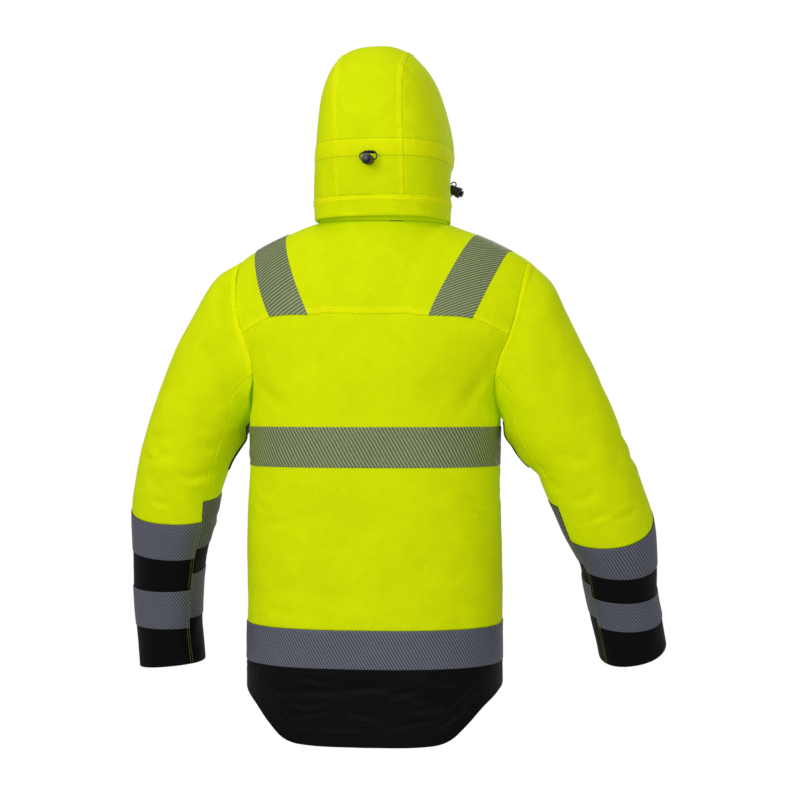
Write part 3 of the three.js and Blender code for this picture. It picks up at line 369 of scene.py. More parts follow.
def hood_arch(share, c):
    spine = np.linspace(0, 1, len(HOOD))
    y, z, width, foot = (read(np.stack([spine, HOOD[:, k]], 1), share) for k in range(4))
    foot_x, foot_y = hood_foot(foot)
    foot_z = BAND["bottom"] + BAND["height"]
    angle = (c / HOOD_COLUMNS - 0.5) * math.pi
    rise = np.maximum(np.cos(angle), 0) ** (2 / HOOD_POWER)
    narrowing = (width - foot_x) * np.maximum(0, 1 - rise / 0.45) ** 2
    x = np.sign(angle) * (width * np.abs(np.sin(angle)) ** (2 / HOOD_POWER) - narrowing)
    return np.stack([x, lerp(foot_y, y, rise), lerp(foot_z, z, rise)], -1)


def hood_foot(degrees):
    c, s = np.cos(np.radians(degrees)), np.sin(np.radians(degrees))
    depth = np.where(c > 0, HOOD_FOOT["back"], HOOD_FOOT["front"])
    return HOOD_FOOT["width"] * np.abs(s) ** 0.9, -depth * c


def hood_cloth(c, r):
    c, r = np.broadcast_arrays(np.asarray(c, float), np.asarray(r, float))
    return turned(hood_arch(r / HOOD_ROWS, c))


def base_band_cloth(c, r):
    c, r = np.broadcast_arrays(np.asarray(c, float), np.asarray(r, float))
    share = np.minimum(np.minimum(c, 2 * HOOD_ROWS + HOOD_COLUMNS - c), HOOD_ROWS) / HOOD_ROWS
    top = hood_arch(np.clip(share, 0, 1), np.clip(c - HOOD_ROWS, 0, HOOD_COLUMNS))
    length = np.maximum(np.hypot(top[..., 0], top[..., 1]), 1e-6)
    lift = np.where(top[..., 1] > 0, -16 * smooth(top[..., 1] / HOOD_FOOT["front"]), 0)
    bottom = np.stack([top[..., 0] * (1 - BAND["foot"] / length), top[..., 1] * (1 - BAND["foot"] / length),
                       BAND["bottom"] + lift], -1)
    return turned(lerp(bottom, top, (r / 2)[..., None]))


def collar_cloth(c, r):
    c, r = np.broadcast_arrays(np.asarray(c, float), np.asarray(r, float))
    top = np.full_like(c, TOP_ROW)
    left = left_front_cloth(c, top)
    back = back_cloth(c - 4 + SIDE - 4, top)
    right = right_front_cloth(c - 12 + SIDE - 4, top)
    foot = np.where((c < 4)[..., None], left, np.where((c < 12)[..., None], back, right))
    rise = r / 3
    length = np.maximum(np.hypot(foot[..., 0], foot[..., 1]), 1e-6)
    flare = COLLAR["flare"] * np.minimum(1, 2 * rise)
    return np.stack([foot[..., 0] * (1 + flare / length), foot[..., 1] * (1 + flare / length),
                     foot[..., 2] + COLLAR["seat"] + COLLAR["height"] * rise], -1)


def zip_cloth(c, r):
    """The strip between the fronts, from the wearer's right (c 0) to the left (c 1)."""
    c, r = np.broadcast_arrays(np.asarray(c, float), np.asarray(r, float))
    low = np.minimum(r, TOP_ROW)
    up = np.clip(r - TOP_ROW, 0, 3)
    on_body = (r <= TOP_ROW)[..., None]
    first, last, side = np.zeros_like(c), np.full_like(c, 16), np.full_like(c, SIDE)
    right = np.where(on_body, right_front_cloth(side, low), collar_cloth(last, up))
    left = np.where(on_body, left_front_cloth(first, low), collar_cloth(first, up))
    return lerp(right, left, c[..., None])


class Surface:
    """One surface of the jacket, with the way its outer side faces."""

    def __init__(self, cloth, flip, columns, rows):
        self.cloth, self.flip, self.columns, self.rows = cloth, flip, columns, rows

    def points(self, c, r):
        return self.cloth(c, r)

    def normals(self, c, r, reach=0.04):
        (c0, c1), (r0, r1) = self.columns, self.rows
        ca, cb = np.clip(c - reach, c0, c1), np.clip(c + reach, c0, c1)
        ra, rb = np.clip(r - reach, r0, r1), np.clip(r + reach, r0, r1)
        n = np.cross(self.cloth(cb, r) - self.cloth(ca, r), self.cloth(c, rb) - self.cloth(c, ra))
        n /= np.maximum(np.linalg.norm(n, axis=-1, keepdims=True), 1e-9)
        return -n if self.flip else n


SURFACES = {
    "back": Surface(back_cloth, False, (0, 2 * SIDE), (0, TOP_ROW)),
    "front_right": Surface(right_front_cloth, False, (0, SIDE), (0, TOP_ROW)),
    "front_left": Surface(left_front_cloth, False, (0, SIDE), (0, TOP_ROW)),
    "sleeve_left": Surface(sleeve_cloth("left"), True, (-99, 99), (0, CUFF_ROWS)),
    "sleeve_right": Surface(sleeve_cloth("right"), False, (-99, 99), (0, CUFF_ROWS)),
    "hood": Surface(hood_cloth, True, (0, HOOD_COLUMNS), (0, HOOD_ROWS)),
    "band": Surface(base_band_cloth, False, (0, 2 * HOOD_ROWS + HOOD_COLUMNS), (0, 2)),
    "collar": Surface(collar_cloth, False, (0, 16), (0, 3)),
    "zip": Surface(zip_cloth, False, (0, 1), (0, TOP_ROW + 3)),
}


# How the camera of the photograph sees a point: across and down in its 800 by 800 frame
def seen(p, turn=CAMERA_TURN):
    away = np.array([math.sin(turn), -math.cos(turn), 0.0])
    right = np.array([math.cos(turn), math.sin(turn), 0.0])
    q = p - TARGET
    scale = CAMERA_DISTANCE / (CAMERA_DISTANCE - q @ away)
    return 400 + (q @ right) * scale / PIXEL, 400 - q[..., 2] * scale / PIXEL, away


# Creases, by the side they are seen from: degrees of the view, then for each crease its line in the
# frame of such a view, half width in mm, depth in mm (a ridge is negative), and its raised lip
CREASES = {
    6: [
        # right armpit and the drag lines from it
        ([(497, 372), (494, 392), (497, 415), (499, 436)], 6, 5, 0.5),
        ([(487, 352), (493, 374), (498, 398)], 7, 3, 0.4),
        ([(508, 380), (506, 400), (503, 418)], 6, 3.5, 0.4),
        # left armpit
        ([(240, 392), (243, 404), (240, 414)], 5, 5, 0.5),
        ([(247, 424), (241, 432), (231, 436)], 5, 4.5, 0.5),
        ([(236, 372), (243, 390), (246, 408)], 6, 3, 0.4),
        # right sleeve
        ([(531, 463), (541, 470), (552, 476)], 5, 3.6, 0.5),
        ([(545, 480), (557, 487), (567, 488)], 6, 2.4, 0.4),
        ([(586, 523), (598, 517), (612, 512)], 4.5, 2.4, 0.6),
        ([(568, 503), (584, 499), (601, 489)], 7, 2.2, 0.5),
        ([(556, 450), (574, 460), (593, 458)], 10, 2.2, 0.4),
        ([(620, 470), (632, 480), (641, 495)], 7, 2.4, 0.5),
        ([(605, 438), (616, 452), (621, 469)], 10, 2.0, 0.4),
        ([(641, 506), (628, 515), (611, 521)], 5, 2.2, 0.6),
        ([(540, 318), (548, 345), (561, 367)], 14, 2.0, 0.3),
        ([(520, 358), (528, 385), (533, 405)], 10, 2.4, 0.3),
        ([(570, 378), (584, 398), (590, 421)], 14, 1.8, 0.3),
        # left sleeve
        ([(150, 498), (160, 503), (173, 506)], 4.5, 2.4, 0.6),
        ([(145, 470), (156, 484), (163, 495)], 7, 2.0, 0.5),
        ([(150, 440), (160, 452), (179, 458)], 10, 2.2, 0.4),
        ([(177, 472), (192, 479), (209, 474)], 6, 2.4, 0.5),
        ([(195, 440), (207, 450), (222, 452)], 8, 2.2, 0.4),
        ([(169, 380), (180, 400), (197, 412)], 14, 2.0, 0.3),
        ([(205, 344), (214, 362), (227, 379)], 12, 2.0, 0.3),
        # torso
        ([(468, 511), (482, 514), (495, 515)], 3.6, 2.6, 0.6),
        ([(466, 499), (480, 506), (493, 507)], 5, 1.6, 0.5),
        ([(483, 527), (490, 528), (498, 531)], 4, 1.6, 0.5),
        ([(262, 520), (276, 524), (293, 520)], 6, 1.6, 0.4),
        ([(255, 497), (262, 508), (273, 512)], 5, 1.7, 0.4),
        ([(300, 590), (340, 600), (373, 594)], 14, 1.5, 0.3),
        ([(410, 560), (450, 576), (481, 572)], 14, 1.5, 0.3),
        ([(451, 600), (470, 608), (493, 606)], 7, 1.6, 0.4),
        ([(262, 598), (276, 611), (299, 616)], 7, 1.6, 0.4),
        ([(330, 498), (350, 530), (356, 562)], 18, 1.3, 0.3),
        ([(299, 350), (330, 372), (350, 401)], 18, 1.3, 0.3),
        ([(420, 345), (440, 372), (452, 401)], 18, 1.3, 0.3),
        # drop tail
        ([(297, 676), (320, 682), (345, 684)], 3.6, 1.7, 0.7),
        ([(285, 700), (305, 706), (331, 703)], 4, 1.9, 0.7),
        ([(290, 717), (312, 714), (333, 709)], 3.2, 1.5, 0.7),
        ([(343, 712), (362, 716), (383, 720)], 3.8, 1.6, 0.7),
        ([(381, 699), (404, 694), (429, 689)], 3.8, 1.7, 0.7),
        ([(408, 713), (430, 710), (448, 706)], 3.6, 1.7, 0.7),
        ([(350, 690), (372, 688), (396, 692)], 4.2, 1.4, 0.7),
        ([(424, 678), (446, 684), (467, 682)], 4, 1.6, 0.7),
        ([(440, 725), (456, 716), (471, 703)], 4.4, 1.9, 0.6),
        ([(267, 682), (278, 692), (293, 694)], 4.4, 1.9, 0.6),
        ([(454, 697), (466, 694), (479, 687)], 3.8, 1.7, 0.7),
        ([(317, 727), (345, 729), (369, 727)], 3.2, 1.4, 0.6),
        ([(384, 729), (405, 726), (426, 722)], 3.2, 1.4, 0.6),
        # hood
        ([(401, 61), (407, 67), (413, 73)], 3.2, 3.2, 0.9),
        ([(396, 71), (406, 75), (417, 80)], 3.0, -1.7, 0),
        ([(335, 95), (340, 98), (345, 101)], 2.6, 2.0, 0.7),
        ([(371, 136), (372, 144), (374, 151)], 2.8, -1.5, 0),
        ([(414, 131), (414.5, 141), (415, 150)], 2.8, -1.6, 0),
        ([(420, 165), (426, 160), (432, 153)], 3.2, -1.6, 0),
        ([(322, 199), (345, 197), (378, 193.5), (410, 197), (449, 208)], 2.6, 1.6, 0.9),
        ([(329, 209), (350, 212), (373, 210)], 3, 1.3, 0.6),
        ([(414, 204), (430, 210), (448, 215)], 3, 1.6, 0.6),
        ([(322, 158), (328, 172), (330, 187)], 7, 1.9, 0.3),
        ([(436, 165), (441, 178), (440, 191)], 6, 1.9, 0.4),
        ([(351, 173), (372, 176), (399, 172)], 7, 1.3, 0.3),
        ([(359, 153.5), (368, 155), (377, 154)], 3.4, 2.6, 0.4),
    ],
    186: [
        ([(541, 370), (536, 392), (541, 414)], 6, 4, 0.4),
        ([(553, 390), (548, 408), (539, 425)], 6, 3, 0.4),
        ([(303, 370), (309, 392), (304, 414)], 6, 4, 0.4),
        ([(291, 390), (297, 408), (306, 425)], 6, 3, 0.4),
        ([(329, 480), (360, 492), (389, 488)], 11, 2.0, 0.4),
        ([(460, 500), (486, 512), (521, 506)], 12, 2.0, 0.4),
        ([(309, 560), (340, 574), (373, 570)], 12, 1.7, 0.4),
        ([(450, 585), (490, 596), (529, 588)], 11, 1.7, 0.4),
        ([(340, 348), (352, 380), (373, 405)], 14, 1.8, 0.3),
        ([(500, 343), (488, 376), (465, 401)], 14, 1.8, 0.3),
        ([(588, 440), (604, 452), (623, 450)], 8, 3.0, 0.5),
        ([(595, 462), (614, 474), (637, 470)], 8, 2.7, 0.5),
        ([(612, 492), (632, 500), (653, 494)], 6, 2.4, 0.6),
        ([(600, 378), (612, 402), (631, 415)], 12, 2.0, 0.3),
        ([(225, 430), (206, 444), (187, 442)], 8, 3.0, 0.5),
        ([(213, 456), (194, 468), (171, 464)], 8, 2.7, 0.5),
        ([(197, 486), (178, 496), (157, 490)], 6, 2.4, 0.6),
        ([(237, 374), (222, 396), (205, 409)], 12, 2.0, 0.3),
        ([(309, 688), (334, 694), (361, 690)], 4.5, 1.5, 0.6),
        ([(440, 690), (470, 697), (501, 692)], 4.5, 1.6, 0.6),
    ],
    96: [
        ([(352, 430), (372, 442), (397, 440)], 8, 2.5, 0.5),
        ([(355, 456), (380, 468), (405, 462)], 7, 2.6, 0.5),
        ([(430, 480), (446, 488), (463, 482)], 6, 2.2, 0.6),
        ([(360, 378), (380, 396), (411, 400)], 12, 2.0, 0.3),
        ([(420, 418), (440, 436), (452, 459)], 9, 2.2, 0.4),
        ([(369, 330), (388, 350), (413, 362)], 14, 2.0, 0.3),
        ([(389, 500), (412, 508), (441, 504)], 5, 2.0, 0.6),
    ],
    276: [
        ([(449, 433), (428, 444), (404, 441)], 8, 2.5, 0.5),
        ([(444, 460), (420, 470), (396, 463)], 7, 2.6, 0.5),
        ([(369, 478), (354, 487), (337, 483)], 6, 2.2, 0.6),
        ([(438, 374), (420, 392), (390, 398)], 12, 2.0, 0.3),
        ([(381, 420), (360, 438), (349, 460)], 9, 2.2, 0.4),
        ([(430, 326), (412, 347), (388, 360)], 14, 2.0, 0.3),
    ],
}


def crease_push(p, n):
    """How the creases move points of the cloth, in mm."""
    push = np.zeros_like(p)
    for degrees, creases in CREASES.items():
        px, py, away = seen(p, math.radians(degrees))
        facing = smooth((n @ away - 0.02) / 0.3)
        at = np.stack([px, py], -1)
        for line, wide, deep, lip in creases:
            line = np.array(line, float)
            low, high = line.min(0) - 4 * wide, line.max(0) + 4 * wide
            near = ((at > low) & (at < high)).all(-1) & (facing > 0)
            if not near.any():
                continue
            q = at[near]
            lengths = np.linalg.norm(np.diff(line, axis=0), axis=1)
            start = np.concatenate([[0], np.cumsum(lengths)])
            best = np.full(len(q), 1e9)
            signed, along = np.zeros(len(q)), np.zeros(len(q))
            for k in range(len(lengths)):
                a, b = line[k], line[k + 1]
                d = (b - a) / lengths[k]
                t = np.clip((q - a) @ d, 0, lengths[k])
                off = q - (a + t[:, None] * d)
                dist = np.linalg.norm(off, axis=1)
                closer = dist < best
                best = np.where(closer, dist, best)
                signed = np.where(closer, dist * np.sign(d[0] * off[:, 1] - d[1] * off[:, 0]), signed)
                along = np.where(closer, start[k] + t, along)
            share = along / start[-1]
            fade = smooth(share / 0.3) * smooth((1 - share) / 0.35)
            d = signed * PIXEL / wide
            profile = np.exp(-d ** 2) - lip * np.exp(-((d - 1.9) / 1.1) ** 2)
            push[near] -= (deep * profile * fade * facing[near])[:, None] * away
    return push


# Soft unevenness of padded cloth: a few long waves in fixed directions
def wave_table(count, low, high):
    rng = np.random.default_rng(SEED)
    way = rng.normal(size=(count, 3))
    way /= np.linalg.norm(way, axis=1, keepdims=True)
    length = rng.uniform(low, high, count)
    return way / length[:, None] * 2 * math.pi, rng.uniform(0, 2 * math.pi, count), length / high


LONG_WAVES = wave_table(14, 70, 190)
SHORT_WAVES = wave_table(16, 22, 48)


def waves(p, table):
    way, phase, size = table
    return (np.sin(p @ way.T + phase) * size).sum(-1) / math.sqrt(len(phase))


CHANNEL = (87.0, 113.0)  # heights of the hood's drawcord channel


def relief(on, p, n):
    """Cloth points with their creases and unevenness, and the raised channel on the hood."""
    lift = 1.1 * waves(p, LONG_WAVES) + 0.22 * waves(p, SHORT_WAVES)
    if on == "hood":
        lift = lift + 1.3 * smooth((p[..., 2] - CHANNEL[0]) / 5) * smooth((CHANNEL[1] - p[..., 2]) / 5)
    return p + crease_push(p, n) + lift[..., None] * n


FAR = 50.0  # mm, stands for no edge near

# Edges of a piece: distances from the edge at which it has rows of points, and how far the outer
# face stands there
EDGES = {
    "seam": ([0, 0.7, 1.7, 3.2, 5.2], [-1.0, -0.45, -0.15, 0, 0]),
    "fell": ([0, 0.7, 1.7, 5.2, 8.6, 9.3, 10.2], [-0.4, 0.35, 0.6, 0.6, 0.55, 0.1, 0]),
    "hem": ([0, 0.5, 1.3, 3, 5.5], [-0.9, -0.3, -0.05, 0, 0]),
    "tape": ([0, 0.4, 1.1], [-0.35, -0.08, 0]),
}


def spread(surface, fixed, low, high, spacing, edges, along_rows):
    """Values of a row or column parameter from low to high, evenly spaced, and closer at the edges."""
    fine = np.linspace(low, high, 500)
    c, r = (np.full_like(fine, fixed), fine) if along_rows else (fine, np.full_like(fine, fixed))
    grid = surface.points(c[:, None], r[:, None])[:, 0] if along_rows else surface.points(c[None], r[None])[0]
    length = np.concatenate([[0], np.cumsum(np.linalg.norm(np.diff(grid, axis=0), axis=1))])
    total = length[-1]
    first = [d for d in EDGES[edges[0]][0] if d < total / 2]
    last = [total - d for d in EDGES[edges[1]][0] if d < total / 2][::-1]
    count = max(int(round((last[0] - first[-1]) / spacing)), 1)
    middle = np.linspace(first[-1], last[0], count + 1)[1:-1]
    at = np.concatenate([first, middle, last])
    return np.interp(at, length, fine), at, total


def edge_lift(at, total, edges):
    low = np.interp(at, EDGES[edges[0]][0] + [1e4], EDGES[edges[0]][1] + [0])
    high = np.interp(total - at, EDGES[edges[1]][0] + [1e4], EDGES[edges[1]][1] + [0])
    return np.where(np.abs(low) > np.abs(high), low, high)


def wall_mesh(name, outer, inner, flip, uv, marks):
    """A closed thin shell between two grids of points in mm."""
    rows, columns = outer.shape[:2]
    count = rows * columns
    points = np.concatenate([outer.reshape(-1, 3), inner.reshape(-1, 3)]) * MM
    r, c = np.meshgrid(np.arange(rows - 1), np.arange(columns - 1), indexing="ij")
    a = (r * columns + c).ravel()
    top = np.stack([a, a + 1, a + 1 + columns, a + columns], 1)
    under = np.stack([a, a + columns, a + columns + 1, a + 1], 1) + count
    r, c = np.arange(rows - 1) * columns, np.arange(columns - 1)
    end, last = columns - 1, (rows - 1) * columns
    rims = [
        np.stack([r, r + columns, r + columns + count, r + count], 1),
        np.stack([r + end, r + end + count, r + end + columns + count, r + end + columns], 1),
        np.stack([c + 1, c, c + count, c + 1 + count], 1),
        np.stack([last + c + 1, last + c + 1 + count, last + c + count, last + c], 1),
    ]
    faces = np.concatenate([top, under] + rims)
    if flip:
        faces = faces[:, ::-1]
    mesh = bpy.data.meshes.new(name)
    mesh.vertices.add(len(points))
    mesh.vertices.foreach_set("co", points.ravel())
    mesh.loops.add(faces.size)
    mesh.loops.foreach_set("vertex_index", faces.ravel().astype(np.int32))
    mesh.polygons.add(len(faces))
    mesh.polygons.foreach_set("loop_start", np.arange(0, faces.size, 4, dtype=np.int32))
    mesh.update(calc_edges=True)
    layer = mesh.uv_layers.new(name="cut")
    both = np.concatenate([uv.reshape(-1, 2), uv.reshape(-1, 2)])
    layer.data.foreach_set("uv", both[faces.ravel()].astype(np.float32).ravel())
    for label, values in marks.items():
        both_sides = np.concatenate([values.ravel(), np.full(count, FAR)])
        made = mesh.attributes.new(label, "FLOAT", "POINT")
        made.data.foreach_set("value", both_sides.astype(np.float32))
    mesh.validate()
    thing = bpy.data.objects.new(name, mesh)
    bpy.context.scene.collection.objects.link(thing)
    mesh.polygons.foreach_set("use_smooth", np.ones(len(faces), bool))
    mark = mesh.attributes.get("sharp_edge") or mesh.attributes.new("sharp_edge", "BOOLEAN", "EDGE")
    keys = np.empty(len(mesh.edges) * 2, np.int32)
    mesh.edges.foreach_get("vertices", keys)
    keys = keys.reshape(-1, 2)
    inside = (keys >= count).all(1)
    k = keys - count
    row, column = k // columns, k % columns
    border = ((row == 0) | (row == rows - 1)).all(1) & (row[:, 0] == row[:, 1])
    sides = ((column == 0) | (column == columns - 1)).all(1) & (column[:, 0] == column[:, 1])
    mark.data.foreach_set("value", inside & (border | sides))
    return thing


CUTS = {}  # measured width, length and area of each piece, for the log


def panel(name, node, on, columns, rows, material, edges, wall=CLOTH, face=0.0, spacing=4.0,
          along_length=False):
    """One cut piece of cloth on a surface. edges are its left, right, low and high edge."""
    surface = SURFACES[on]
    middle_c, middle_r = sum(columns) / 2, sum(rows) / 2
    c, at_c, wide = spread(surface, middle_r, *columns, spacing, edges[:2], False)
    r, at_r, tall = spread(surface, middle_c, *rows, spacing, edges[2:], True)
    cc, rr = np.meshgrid(c, r)
    p, n = surface.points(cc, rr), surface.normals(cc, rr)
    p = relief(on, p, n)
    side = edge_lift(at_c, wide, edges[:2])[None, :]
    ends = edge_lift(at_r, tall, edges[2:])[:, None]
    lift = np.where(np.abs(side) > np.abs(ends), side, ends)
    outer = p + (face + lift)[..., None] * n
    inner = p + (face - wall) * n
    step_c = np.linalg.norm(np.diff(p, axis=1), axis=-1)
    step_r = np.linalg.norm(np.diff(p, axis=0), axis=-1)
    u = np.concatenate([np.zeros((len(r), 1)), np.cumsum(step_c, 1)], 1)
    u = (u - u[:, -1:] / 2) * (-1 if surface.flip else 1)
    v = np.concatenate([np.zeros((1, len(c))), np.cumsum(step_r, 0)], 0)
    uv = np.stack([v, -u] if along_length else [u, v], -1) * MM
    to_edge = [at_c[None, :], (wide - at_c)[None, :], at_r[:, None], (tall - at_r)[:, None]]
    to_edge = [np.broadcast_to(d, cc.shape) for d in to_edge]
    felled = [d for d, kind in zip(to_edge, edges) if kind == "fell"] + [np.full(cc.shape, FAR)]
    has_channel = on == "hood" and rows[0] == 1
    marks = {
        "seam": np.minimum.reduce(to_edge),
        "fell": np.minimum.reduce(felled),
        "channel": p[..., 2] - sum(CHANNEL) / 2 if has_channel else np.full(cc.shape, 20 * FAR),
    }
    thing = wall_mesh(name, outer, inner, surface.flip, uv, marks)
    thing.data.materials.append(material)
    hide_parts(node)
    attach(thing, "jacket")
    across = np.cross(p[1:, 1:] - p[:-1, :-1], p[1:, :-1] - p[:-1, 1:])
    area = np.linalg.norm(across, axis=-1).sum() / 2 * MM * MM
    flat = (max(step_c.sum(1).max() * MM, 0.01), step_r.sum(0).max() * MM)
    CUTS[name] = (*flat, area)


# Sewing: rows of small stitches that lie along a line of a surface
def along(columns, rows, count=160):
    return np.stack([np.linspace(*columns, count), np.linspace(*rows, count)], 1)


def row_of_stitches(on, line, aside=0.0, height=0.35, pitch=3.5, long=2.5, thick=0.75):
    """Points and faces of one row. aside is how far it runs to the left of its line, in mm."""
    surface = SURFACES[on]

    def at(q):
        return surface.points(q[:, 0][:, None], q[:, 1][:, None])[:, 0]

    run = np.concatenate([[0], np.cumsum(np.linalg.norm(np.diff(at(line), axis=0), axis=1))])
    count = max(int(run[-1] / pitch), 1)
    places = (np.arange(count) + 0.5) * run[-1] / count
    q = np.stack([np.interp(places, run, line[:, k]) for k in (0, 1)], 1)
    ahead = np.stack([np.interp(places + 0.8, run, line[:, k]) for k in (0, 1)], 1)
    behind = np.stack([np.interp(places - 0.8, run, line[:, k]) for k in (0, 1)], 1)

    def frame_at(q, ahead, behind):
        tangent = at(ahead) - at(behind)
        tangent /= np.maximum(np.linalg.norm(tangent, axis=1, keepdims=True), 1e-9)
        normal = surface.normals(q[:, 0][:, None], q[:, 1][:, None])[:, 0]
        side = np.cross(normal, tangent)
        return tangent, normal, side / np.maximum(np.linalg.norm(side, axis=1, keepdims=True), 1e-9)

    tangent, normal, side = frame_at(q, ahead, behind)
    if aside:
        step = 0.02
        du = (at(q + [step, 0]) - at(q - [step, 0])) / (2 * step)
        dv = (at(q + [0, step]) - at(q - [0, step])) / (2 * step)
        uu, uv, vv = (du * du).sum(1), (du * dv).sum(1), (dv * dv).sum(1)
        su, sv = (du * side).sum(1) * aside, (dv * side).sum(1) * aside
        det = np.maximum(uu * vv - uv * uv, 1e-9)
        q = q + np.stack([(su * vv - sv * uv) / det, (sv * uu - su * uv) / det], 1)
        normal = surface.normals(q[:, 0][:, None], q[:, 1][:, None])[:, 0]
    middle = relief(on, at(q), normal) + height * normal
    half, wide, high = long / 2, thick / 2, thick / 2
    points = np.stack([
        middle - half * tangent - 0.25 * normal, middle + half * tangent - 0.25 * normal,
        middle - wide * side, middle + wide * side, middle + high * normal, middle - 0.3 * normal,
    ], 1)
    faces = np.array([(0, 2, 4), (2, 1, 4), (1, 3, 4), (3, 0, 4), (2, 0, 5), (1, 2, 5), (3, 1, 5), (0, 3, 5)])
    return points.reshape(-1, 3), (faces[None] + np.arange(count)[:, None, None] * 6).reshape(-1, 3)


def small_piece(name, points, faces, material):
    """A mesh from points in mm, which rides on the jacket and replaces nothing."""
    mesh = bpy.data.meshes.new(name)
    mesh.from_pydata((points * MM).tolist(), [], faces)
    mesh.materials.append(material)
    thing = bpy.data.objects.new(name, mesh)
    bpy.context.scene.collection.objects.link(thing)
    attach(thing, "jacket")


def sewing(name, material, rows):
    """All rows of stitches of one kind as one piece."""
    points, faces, start = [], [], 0
    for row in rows:
        p, f = row_of_stitches(**row)
        points.append(p)
        faces.append(f + start)
        start += len(p)
    small_piece(name, np.concatenate(points), np.concatenate(faces).tolist(), material)


def hood_level(height):
    """The line round the hood at one height, from the face band on the left to that on the right."""
    angle = np.linspace(math.pi + 0.3, -0.3, 241)
    reach = np.linspace(0, 1.3, 400)
    c = SIDE + reach[None, :] * SIDE * np.cos(angle)[:, None]
    r = 3 + reach[None, :] * 9 * np.sin(angle)[:, None]
    inside = (c >= 0) & (c <= HOOD_COLUMNS) & (r >= 1) & (r <= HOOD_ROWS)
    z = hood_cloth(np.clip(c, 0, HOOD_COLUMNS), np.clip(r, 0, HOOD_ROWS))[..., 2]
    low = (z < height) & inside
    first = low.argmax(1)
    good = low.any(1) & (first > 0)
    i, k = np.nonzero(good)[0], first[good]
    t = (z[i, k - 1] - height) / (z[i, k - 1] - z[i, k])
    return np.stack([lerp(c[i, k - 1], c[i, k], t), lerp(r[i, k - 1], r[i, k], t)], 1)


# Finishes
def new_material(name):
    material = bpy.data.materials.new(name)
    material.use_nodes = True
    tree = material.node_tree
    return material, tree, tree.nodes["Principled BSDF"]


def math_node(tree, operation, a, b=None, clamp=False):
    made = tree.nodes.new("ShaderNodeMath")
    made.operation, made.use_clamp = operation, clamp
    for i, value in enumerate((a, b)):
        if value is None:
            continue
        if isinstance(value, (int, float)):
            made.inputs[i].default_value = value
        else:
            tree.links.new(value, made.inputs[i])
    return made.outputs[0]


def mix_colour(tree, factor, a, b):
    made = tree.nodes.new("ShaderNodeMix")
    made.data_type = "RGBA"
    sockets = [s for s in made.inputs if s.enabled]
    for socket, value in zip(sockets, (factor, a, b)):
        if isinstance(value, (int, float, tuple)):
            socket.default_value = value
        else:
            tree.links.new(value, socket)
    return [s for s in made.outputs if s.enabled][0]


def group(name, inputs, outputs):
    tree = bpy.data.node_groups.new(name, "ShaderNodeTree")
    for label, kind, value in inputs:
        socket = tree.interface.new_socket(label, in_out="INPUT", socket_type=kind)
        socket.default_value = value
    for label, kind in outputs:
        tree.interface.new_socket(label, in_out="OUTPUT", socket_type=kind)
    return tree, tree.nodes.new("NodeGroupInput"), tree.nodes.new("NodeGroupOutput")


def weave_group():
    """Oxford weave from the cut's own map: height and a light mask of the threads."""
    tree, given, out = group("Plain weave", [
        ("Threads for each metre", "NodeSocketFloat", 1100.0), ("Slub", "NodeSocketFloat", 0.35),
    ], [("Height", "NodeSocketFloat"), ("Thread", "NodeSocketFloat")])
    uv = tree.nodes.new("ShaderNodeUVMap")
    uv.uv_map = "cut"
    split = tree.nodes.new("ShaderNodeSeparateXYZ")
    tree.links.new(uv.outputs[0], split.inputs[0])
    turns = math_node(tree, "MULTIPLY", given.outputs[0], math.pi)
    warp = math_node(tree, "SINE", math_node(tree, "MULTIPLY", split.outputs[0], turns))
    weft = math_node(tree, "SINE", math_node(tree, "MULTIPLY", split.outputs[1], turns))
    thread = math_node(tree, "MULTIPLY", warp, weft)
    noise = tree.nodes.new("ShaderNodeTexNoise")
    noise.inputs["Scale"].default_value = 900
    noise.inputs["Detail"].default_value = 3
    tree.links.new(uv.outputs[0], noise.inputs["Vector"])
    uneven = math_node(tree, "SUBTRACT", noise.outputs["Fac"], 0.5)
    slub = math_node(tree, "MULTIPLY", uneven, given.outputs[1])
    height = math_node(tree, "ADD", math_node(tree, "MULTIPLY", thread, 0.5), slub)
    tree.links.new(height, out.inputs[0])
    tree.links.new(math_node(tree, "ADD", math_node(tree, "MULTIPLY", height, 0.5), 0.5, True), out.inputs[1])
    return tree


def crinkle_group():
    """Fine creasing of padded cloth, stronger near the seams, on object coordinates; its Shade output is
    painted shade and light that follows the creases.
    """
    tree, given, out = group("Crinkle", [
        ("Size", "NodeSocketFloat", 26.0), ("Pucker", "NodeSocketFloat", 1.0),
    ], [("Height", "NodeSocketFloat"), ("Shade", "NodeSocketFloat")])
    place = tree.nodes.new("ShaderNodeTexCoord")
    noise = tree.nodes.new("ShaderNodeTexNoise")
    noise.inputs["Detail"].default_value = 4
    noise.inputs["Roughness"].default_value = 0.55
    noise.inputs["Distortion"].default_value = 0.6
    tree.links.new(place.outputs["Object"], noise.inputs["Vector"])
    tree.links.new(given.outputs[0], noise.inputs["Scale"])
    pucker = tree.nodes.new("ShaderNodeTexNoise")
    pucker.inputs["Scale"].default_value = 95
    pucker.inputs["Detail"].default_value = 2
    tree.links.new(place.outputs["Object"], pucker.inputs["Vector"])
    seam = tree.nodes.new("ShaderNodeAttribute")
    seam.attribute_name = "seam"
    near = tree.nodes.new("ShaderNodeMapRange")
    near.inputs["From Min"].default_value = 16
    near.inputs["From Max"].default_value = 2
    tree.links.new(seam.outputs["Fac"], near.inputs["Value"])
    gathered = math_node(tree, "MULTIPLY", math_node(tree, "SUBTRACT", pucker.outputs["Fac"], 0.5),
                         math_node(tree, "MULTIPLY", near.outputs[0], given.outputs[1]))
    height = math_node(tree, "ADD", noise.outputs["Fac"], gathered)
    tree.links.new(height, out.inputs[0])
    tree.links.new(noise.outputs["Fac"], out.inputs[1])
    return tree


